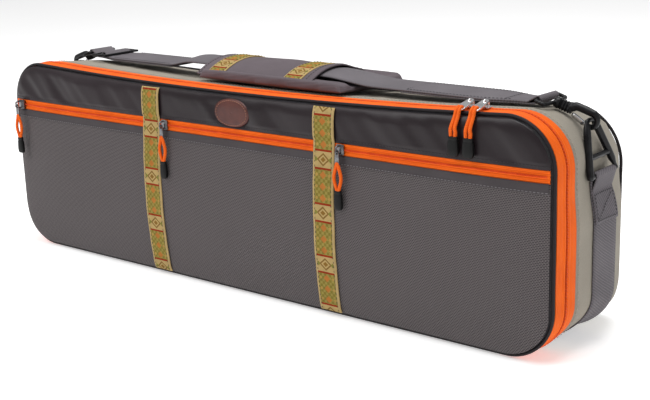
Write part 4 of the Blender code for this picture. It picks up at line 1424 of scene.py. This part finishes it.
def build_webbing():
    right = end_path()
    line = [(-x, z) for x, z in reversed(right[1:])] + right
    across = np.linspace(-WEBBING_WIDTH / 2, WEBBING_WIDTH / 2, 9)
    rows = [[webbing_place(x, y, z) for y in across] for x, z in line]
    strap = strip_sheet("support_webbing_strap", rows, across, WEB, 0.0)
    solid = strap.modifiers.new("thickness", "SOLIDIFY")
    solid.thickness, solid.offset = WEBBING - 0.0001, 0.0
    place(strap, "case_body", "grey_webbing", "support_webbing")
    outside = section(WEBBING_Y)[0] + WEBBING + 0.0009
    rows = []
    for side in (-1, 1):
        edge = WEBBING_WIDTH / 2 - 0.003
        low, high = RING_BAR_Z - 0.045, RING_BAR_Z - 0.019
        box = [(-edge, low), (edge, low), (edge, high), (-edge, high), (-edge, low), (edge, high)]
        path = []
        for (a, b), (c, d) in zip(box, box[1:]):
            for share in np.linspace(0, 1, 10, False):
                path.append(webbing_place(side * outside, mix(a, c, share), mix(b, d, share)))
        rows.append(stitches(f"w{side}", path, THREAD["dark"], (side, 0, 0), 0.0026, 0.0012, 0.00035))
    place(joined("support_webbing_stitches", rows), "case_body", "grey_webbing")


def hook_frame(side):
    along_strap = np.array((math.cos(STRAP_SKEW), -math.sin(STRAP_SKEW), 0.0))
    start = np.array((0.0, STRAP_MIDDLE_Y, EYE_Z)) + along_strap * (side * EYE_X)
    along = np.array((side * math.cos(HOOK_SLOPE), 0.0, -math.sin(HOOK_SLOPE)))
    out = np.array((side * math.sin(HOOK_SLOPE), 0.0, math.cos(HOOK_SLOPE)))
    return start, along, out


def build_ring(name, side):
    """A moulded ring: a bar in the webbing's fold, two broad legs, a crossbar, and a short bar in the hook."""
    start, along, out = hook_frame(side)
    top = start + along * 0.0510 - out * 0.0030
    bar = np.array((side * RING_BAR_X, WEBBING_Y, RING_BAR_Z))
    wide, narrow = 0.0255, 0.0075
    places = ((-wide, 0.10), (-wide + 0.003, 0.0), (wide - 0.003, 0.0), (wide, 0.10))
    places += ((narrow + 0.002, 0.90), (narrow - 0.003, 1.0), (-narrow + 0.003, 1.0), (-narrow - 0.002, 0.90))
    path = smooth_path([mix(bar, top, share) + (0, across, 0) for across, share in places], 6, closed=True)
    reach = np.linalg.norm(top - bar)
    radii = []
    for point in path:
        share = np.dot(np.array(point) - bar, top - bar) / reach**2
        radii.append(RING_BAR + 0.0016 * smooth(share / 0.12) * smooth((1 - share) / 0.12))
    frame_bar = tube("r", path, radii, PLASTIC, 12, closed=True, normal=(1, 0, 0.4))
    middle = mix(bar, top, 0.34)
    cross = tube(
        "x", [middle + (0, y, 0) for y in np.linspace(-0.0200, 0.0200, 9)], RING_BAR + 0.0006, PLASTIC, 12
    )
    place(
        joined(f"{name}_webbing_loop", [frame_bar, cross]), f"{name}_webbing_ring", "black_plastic",
        f"{name}_ring"
    )


def build_hook(name, side):
    start, along, out = hook_frame(side)
    across = np.array((0.0, 1.0, 0.0))
    half = 0.0225
    corners = [
        (0.0, -half + 0.004), (0.0, half - 0.004), (0.004, half), (0.0065, half), (0.0105, half - 0.004),
        (0.0105, -half + 0.004), (0.0065, -half), (0.004, -half)
    ]
    loop = [start + along * a + across * b for a, b in corners]
    eye = tube("e", smooth_path(loop, 5, closed=True), EYE_BAR, PLASTIC, 12, closed=True)
    collar_path = [start + along * a for a in (0.0098, 0.0104, 0.0120, 0.0150, 0.0164, 0.0170)]
    collar = tube("c", collar_path, [0.0034, 0.0048, 0.0056, 0.0056, 0.0050, 0.0042], PLASTIC, 16)
    place(joined(f"{name}_swivel_eye", [eye, collar]), "case_body", "black_plastic", f"{name}_eye")

    neck_path, radii = [], []
    for step in range(25):
        at = 0.0174 + 0.0126 * step / 24
        neck_path.append(start + along * at)
        radii.append(0.0050 + 0.0008 * math.cos(2 * math.pi * step / 6) - (0.0012 if step in (
            0, 24
        ) else 0.0))
    neck = tube("n", neck_path, radii, PLASTIC, 18)
    nose, bend, rise = 0.0515, 0.0070, 0.0045
    spine = [start + along * 0.0270 + out * 0.0008, start + along * 0.0310 + out * 0.0026]
    spine.append(start + along * 0.0345 + out * rise)
    for step in range(9):
        turn = math.radians(90 - 200 * step / 8)
        centre = start + along * nose + out * (rise - bend)
        spine.append(centre + along * bend * math.cos(turn) + out * bend * math.sin(turn))
    path = smooth_path(spine, 5)
    size = [mix(0.0046, 0.0029, min(1.0, step / (0.55 * len(path)))) for step in range(len(path))]
    body = tube("b", path, size, PLASTIC, 14, normal=(0, 1, 0))
    place(joined(f"{name}_snap_hook", [neck, body]), f"{name}_snap", "black_plastic", f"{name}_hook")

    pivot = start + along * 0.0325 - out * 0.0050
    tip = start + along * 0.0468 - out * 0.0086
    run = (tip - pivot) / np.linalg.norm(tip - pivot)
    lengths = (-0.0014, -0.0008, 0.0010, 0.0060, 0.0120, 0.0155, 0.0166)
    widths = (0.0014, 0.0022, 0.0027, 0.0029, 0.0026, 0.0019, 0.0009)
    plate = tube("g", [pivot + run * at for at in lengths], widths, SILVER, 16, flat=0.55, normal=(0, 1, 0))
    knob = pivot + run * 0.0128
    rivet_path = [knob + across * b for b in (-0.0036, -0.0034, 0.0034, 0.0036)]
    rivet = tube("v", rivet_path, [0.0010, 0.0015, 0.0015, 0.0010], GUN, 14)
    place(joined(f"{name}_hook_gate", [plate, rivet]), f"{name}_snap_gate", "bright_metal", f"{name}_gate")


# Shoulder strap and pad --------------------------------------------------------------------------------


def strap_place(along, across, up):
    return (
        along * math.cos(STRAP_SKEW) + across * math.sin(STRAP_SKEW),
        STRAP_MIDDLE_Y - along * math.sin(STRAP_SKEW) + across * math.cos(STRAP_SKEW),
        up,
    )


def strap_path():
    """One length of webbing: sewn end, right eye, across the top, over the adjuster's bar, left eye, end."""
    fold = EYE_BAR + 0.0008 + STRAP / 2
    lower = STRAP_Z - STRAP - 0.0004
    path = [(x, lower) for x in np.linspace(0.185, EYE_X - 0.012, 18)]
    for step in range(13):
        turn = math.radians(-90 + 180 * step / 12)
        path.append((EYE_X + fold * math.cos(turn), EYE_Z + fold * math.sin(turn)))
    path += [(x, STRAP_Z) for x in np.linspace(EYE_X - 0.012, GLIDE_X + 0.0125, 90)]
    rise = 0.0053
    path += [
        (GLIDE_X + a, STRAP_Z + b) for a,
        b in (
            (0.0100, 0.0002), (0.0040, rise * 0.85), (0.0022, rise), (-0.0022, rise), (-0.0040, rise * 0.85),
            (-0.0100, 0.0002)
        )
    ]
    path += [(x, STRAP_Z) for x in np.linspace(GLIDE_X - 0.0125, -EYE_X + 0.012, 4)]
    for step in range(13):
        turn = math.radians(90 + 180 * step / 12)
        path.append((-EYE_X + fold * math.cos(turn), EYE_Z + fold * math.sin(turn)))
    path += [(x, lower) for x in np.linspace(-EYE_X + 0.012, -0.175, 20)]
    return path


def strap_lift(along, across):
    """How far the strap arches off the case where the pad holds it up."""
    near = smooth((0.165 - abs(along + 0.015)) / (0.040 if along < 0 else 0.075))
    return near * (STRAP_RISE - 0.0045 * (across / (STRAP_WIDTH / 2)) ** 2)


def strap_half(along):
    near = min(1.0, max(0.0, (abs(along) - 0.28) / 0.05))
    return mix(STRAP_WIDTH, STRAP_END_WIDTH, near * near * (3 - 2 * near)) / 2


def build_strap():
    shares = np.linspace(-1, 1, 13)
    rows, uvs = [], []
    length, last = 0.0, None
    for along, up in strap_path():
        if last:
            length += math.hypot(along - last[0], up - last[1])
        last = (along, up)
        free = 1.0 if abs(up - STRAP_Z) < 1e-4 and 0.09 < abs(along) < 0.29 else 0.0
        gather = max(0.0, (abs(along) - 0.27) / 0.07)
        line = []
        for share in shares:
            across = share * strap_half(along)
            bow = 0.0010 * free * (1 - share**2) * math.sin((abs(along) - 0.09) / 0.20 * math.pi)
            pleat = 0.0004 * gather * math.cos(share * 9.0)
            flat = abs(up - STRAP_Z) < 1e-4
            lift = strap_lift(along, across) if flat else 0.0
            line.append(strap_place(along, across, up + bow + lift + (pleat if flat else 0.0)))
        rows.append(line)
        uvs.append([(share * STRAP_WIDTH / 2, length) for share in shares])
    strap = sheet("shoulder_strap_webbing", rows, WEB, 0.0, uvs=uvs)
    solid = strap.modifiers.new("thickness", "SOLIDIFY")
    solid.thickness, solid.offset = STRAP - 0.0001, 0.0
    place(strap, "case_body", "grey_webbing", "shoulder_strap")
    rows = []
    for number, (start, end) in enumerate(((0.190, 0.315), (-0.290, -0.180))):
        for side in (-1, 1):
            path = [strap_place(
                a, side * (strap_half(a) - 0.0035), STRAP_Z + STRAP / 2 + 0.0003
            ) for a in np.linspace(start, end, 30)]
            rows.append(stitches(f"t{number}{side}", path, THREAD["dark"], (0, 0, 1), 0.0028, 0.0014, 0.0003))
    for at in (0.190, 0.308):
        path = [strap_place(
            at, y, STRAP_Z + STRAP / 2 + 0.0003
        ) for y in np.linspace(-0.8, 0.8, 12) * strap_half(at)]
        rows.append(stitches(f"u{at}", path, THREAD["dark"], (0, 0, 1), 0.0026, 0.0012, 0.0003))
    place(joined("shoulder_strap_stitches", rows), "case_body", "grey_webbing")

    frame_z = STRAP_Z + STRAP / 2 + 0.0004 + 0.0015
    half = STRAP_END_WIDTH / 2 + 0.0105
    items = []
    for number, offset in enumerate((-0.0115, 0.0, 0.0115)):
        low = (GLIDE_X + offset - 0.0015, -half, frame_z - 0.0014)
        high = (GLIDE_X + offset + 0.0015, half, frame_z + 0.0014)
        items.append(soft_box(f"b{number}", low, high, 0.0009, PLASTIC))
    for side in (-1, 1):
        low = (GLIDE_X - 0.0132, side * half - 0.0020, frame_z - 0.0014)
        high = (GLIDE_X + 0.0132, side * half + 0.0020, frame_z + 0.0014)
        items.append(soft_box(f"e{side}", low, high, 0.0012, PLASTIC))
    adjuster = joined("strap_adjuster_frame", items)
    adjuster.matrix_world = Matrix.Translation((0, STRAP_MIDDLE_Y, 0)) @ Matrix.Rotation(-STRAP_SKEW, 4, "Z")
    bpy.context.view_layer.update()
    place(adjuster, "case_body", "black_plastic", "strap_adjuster")


def pad_rest(y):
    """Height of the pad's underside."""
    return top_z(PAD_END_X + PAD_TRAVEL, y) + 0.0010


def swell(obj, pressure, cap, frames=18):
    """Puffs a closed mesh with a short cloth simulation, and keeps each point within cap of where it started."""
    rest = np.array([v.co for v in obj.data.vertices])
    cloth_sim = obj.modifiers.new("swell", "CLOTH")
    settings = cloth_sim.settings
    settings.quality = 5
    settings.mass = 0.15
    settings.tension_stiffness = settings.compression_stiffness = 18
    settings.bending_stiffness = 1.5
    settings.use_pressure = True
    settings.uniform_pressure_force = pressure
    settings.effector_weights.gravity = 0.0
    cloth_sim.point_cache.frame_start, cloth_sim.point_cache.frame_end = 1, frames
    scene = bpy.context.scene
    for step in range(1, frames + 1):
        scene.frame_set(step)
    obj = settled(obj)
    scene.frame_set(1)
    now = np.array([v.co for v in obj.data.vertices])
    moved = now - rest
    far = np.linalg.norm(moved, axis=1)
    scale = np.where(far > cap, cap / np.maximum(far, 1e-9), 1.0)
    now = rest + moved * scale[:, None]
    obj.data.vertices.foreach_set("co", now.astype(np.float32).ravel())
    obj.data.update()
    return obj


def build_pad():
    """A flat pad with a rolled front and back edge, swelled by simulation."""
    start, end, front, back = PAD_START_X + 0.002, PAD_END_X - 0.001, -0.055, 0.061
    lines, steps = 60, 36

    def thick(along, across):
        edge = min(across - front, back - across)
        side = min(along - start, end - along)
        rolled = 0.0052 * bell(edge, 0.0050, 0.0042)
        dome = 0.0085 * max(0.0, 1 - (across / 0.048) ** 2)
        return (0.0042 + rolled + dome) * min(
            1.0, (max(0.0, edge) / 0.0030)
        ) ** 0.5 * min(1.0, max(0.0, side) / 0.006) ** 0.5

    loops = []
    for line in range(lines + 1):
        along = mix(start, end, line / lines)
        ring = []
        for hand in (-1, 1):
            for step in range(steps + 1):
                share = step / steps if hand < 0 else 1 - step / steps
                across = mix(front, back, 0.5 - 0.5 * math.cos(math.pi * share))
                rest = pad_rest(STRAP_MIDDLE_Y + across) + 0.0008 + 0.0095 * smooth((across - 0.020) / 0.040)
                high = thick(along, across)
                up = rest if hand < 0 else rest + max(high, 0.0006)
                ring.append(strap_place(along, across, up))
        loops.append(ring)
    grid = np.array(loops)
    size = grid.shape[1]
    faces = []
    for line in range(lines):
        for step in range(size):
            a, b = line * size + step, line * size + (step + 1) % size
            faces.append((a, b, b + size, a + size))
    faces.append(tuple(range(size))[::-1])
    faces.append(tuple(lines * size + step for step in range(size)))
    pad = piece(
        "shoulder_pad_cushion", grid.reshape(-1, 3), faces, PAD, [(p[0], p[1]) for p in grid.reshape(-1, 3)]
    )
    remesh = pad.modifiers.new("remesh", "REMESH")
    remesh.mode, remesh.voxel_size = "VOXEL", 0.0019
    pad = settled(pad)
    pad = swell(pad, 3.0, 0.0022)
    for vertex in pad.data.vertices:
        x, y, z = vertex.co
        across = y - STRAP_MIDDLE_Y + x * math.tan(STRAP_SKEW)
        z = max(z, top_z(x, y) + 0.0006, top_z(min(x + PAD_TRAVEL, 0.3), y) + 0.0006)
        near = min(1.0, max(0.0, (0.036 - abs(across)) / 0.006))
        under = [strap_lift(
            x + shift, min(abs(across), STRAP_WIDTH / 2)
        ) for shift in (-PAD_TRAVEL, 0, PAD_TRAVEL)]
        ceiling = STRAP_Z - STRAP / 2 - 0.0014 + min(under)
        vertex.co.z = mix(z, min(z, ceiling), near)
    relax = pad.modifiers.new("relax", "SMOOTH")
    relax.factor, relax.iterations = 0.5, 3
    pad = settled(pad)
    pad.data.materials.clear()
    pad.data.materials.append(PAD)
    pad.data.shade_smooth()
    place(pad, "strap_pad", "charcoal_fabric", "shoulder_pad")


def sleeve_height(along, across, half_width):
    """Top of the sleeve: arched over the strap, and sewn down on the pad at both sides."""
    crown = STRAP_Z + STRAP / 2 + 0.0024 + STRAP_RISE
    rest = pad_rest(STRAP_MIDDLE_Y + across) + 0.0046 + 0.0125 * smooth((across - 0.020) / 0.030)
    return mix(crown, rest, min(1.0, abs(across) / half_width) ** 2.3)


def build_sleeve():
    half = 0.0505
    middle = (SLEEVE_START_X + SLEEVE_END_X) / 2
    strips = (middle - 0.060, middle + 0.060)

    def top(along, across):
        puff = 0.0014 * abs(math.sin(math.pi * (along - strips[0]) / 0.120)) * math.cos(across / half * 1.2)
        wrinkle = 0.0007 * rough_noise(along, across * 0.5, 0.4, 34.0)
        hem = 0.0010 * bell(along, SLEEVE_END_X - 0.005, 0.004)
        return sleeve_height(along, across, half) + puff + wrinkle + hem

    across = [half * math.sin(math.pi / 2 * s) for s in np.linspace(-1, 1, 41)]
    places = np.linspace(SLEEVE_START_X, SLEEVE_END_X, 80)
    rows = [[strap_place(a, b, top(a, b)) for b in across] for a in places]
    sleeve = sheet("pad_sleeve_cloth", rows, PAD, 0.0016, flip=True)
    place(sleeve, "strap_pad", "charcoal_fabric", "pad_sleeve")
    rows = []
    for at in (SLEEVE_START_X + 0.004, SLEEVE_END_X - 0.009):
        path = [strap_place(at, b, top(at, b) + 0.0001) for b in across]
        rows.append(stitches(f"h{at:.3f}", path, THREAD["dark"], (0, 0, 1), 0.0028, 0.0014, 0.0003))
    for side in (-1, 1):
        path = [strap_place(a, side * (half - 0.003), top(a, side * (half - 0.003)) + 0.0001) for a in places]
        rows.append(stitches(f"k{side}", path, THREAD["dark"], (0, 0, 1), 0.0028, 0.0014, 0.0003))
    place(joined("pad_sleeve_stitches", rows), "strap_pad", "charcoal_fabric")

    width = STRIP_WIDTH / 2 - 0.001
    offsets = [
        -width, -width + 0.0006, -width + 0.002, -width / 2, 0, width / 2, width - 0.002, width - 0.0006,
        width
    ]
    paint = jacquard("jacquard_pad", 0.0120)
    for name, centre in (("left", strips[0]), ("right", strips[1])):
        grid = []
        for b in [half * 0.985 * math.sin(math.pi / 2 * s) for s in np.linspace(-1, 1, 61)]:
            line = []
            for offset in offsets:
                edge = max(0.0, (abs(offset) - width + 0.0012) / 0.0012)
                line.append(strap_place(centre + offset, b, top(centre, b) + 0.0016 - 0.0010 * edge**2))
            grid.append(line)
        strip = strip_sheet(f"pad_trim_{name}", grid, offsets, paint, 0.0012)
        place(strip, "strap_pad", "jacquard", f"pad_strip_{name}")
        rows = []
        for side in (-1, 1):
            path = [strap_place(centre + side * (width - 0.0033), b, top(centre, b) + 0.0017) for b in across]
            rows.append(stitches(
                f"p{name}{side}", path, THREAD["dark"], (0, 0, 1), 0.0026, 0.0026, 0.00032, 0.0
            ))
        place(joined(f"pad_trim_{name}_stitches", rows), "strap_pad", "jacquard")


# Stage: floor, light and camera ------------------------------------------------------------------------


def build_stage():
    floor = sheet("stage_floor", [[(x, y, -0.0006) for x in (-6, 0, 6)] for y in (-6, 0, 6)], FLOOR)
    scene = bpy.context.scene
    world = bpy.data.worlds.new("studio")
    scene.world = world
    world.use_nodes = True
    world.node_tree.nodes["Background"].inputs["Color"].default_value = (1.0, 1.0, 1.0, 1.0)
    world.node_tree.nodes["Background"].inputs["Strength"].default_value = 0.42
    lights = (
        ("key", (-1.1, -1.7, 2.2), 34.0, 1.5),
        ("top", (0.2, 0.2, 2.4), 46.0, 1.6),
        ("side", (2.4, -0.3, 0.9), 5.0, 1.2),
    )
    for name, place_at, power, size in lights:
        lamp = bpy.data.lights.new(name, "AREA")
        lamp.energy, lamp.size = power, size
        obj = bpy.data.objects.new(name, lamp)
        scene.collection.objects.link(obj)
        obj.location = place_at
        obj.rotation_euler = (Vector((0, 0, 0.12)) - Vector(place_at)).to_track_quat("-Z", "Y").to_euler()


def build_camera():
    camera = bpy.data.cameras.new("camera")
    camera.sensor_width, camera.lens = 36.0, 66.46
    obj = bpy.data.objects.new("camera", camera)
    bpy.context.scene.collection.objects.link(obj)
    yaw, pitch, tilt = math.radians(39.29), math.radians(14.96), math.radians(-1.91)
    back = Vector((math.sin(yaw) * math.cos(pitch), -math.cos(yaw) * math.cos(pitch), math.sin(pitch)))
    right = Vector((math.cos(yaw), math.sin(yaw), 0.0))
    up = back.cross(right)
    turned = right * math.cos(tilt) + up * math.sin(tilt)
    upright = up * math.cos(tilt) - right * math.sin(tilt)
    matrix = Matrix((turned, upright, back)).transposed().to_4x4()
    matrix.translation = Vector((0.1226, FRONT_Y, 0.1281)) + back * 1.2904
    obj.matrix_world = matrix
    bpy.context.scene.camera = obj


def floor_paint():
    paint = Paint("pale_floor", 0.55, specular=0.3)
    tone = paint.cloud(paint.coords("Object"), 1.5, 2.0)
    pale = paint.blend(tone, (0.90, 0.90, 0.90), (0.94, 0.94, 0.94))
    paint.colour(pale)
    paint.plug(paint.shader.inputs["Emission Color"], pale)
    paint.shader.inputs["Emission Strength"].default_value = 0.45
    return paint.material


FLOOR = floor_paint()
bpy.context.scene.view_settings.view_transform = "Standard"

build_body()
build_main_zip()
build_hinge()
build_inside()
build_cover()
build_pocket_zips()
build_trim()
build_patch()
build_main_pulls()
build_pocket_pulls()
build_webbing()
for hook_name, hook_side in (("right", 1), ("left", -1)):
    build_ring(hook_name, hook_side)
    build_hook(hook_name, hook_side)
build_strap()
build_pad()
build_sleeve()
build_stage()
build_camera()
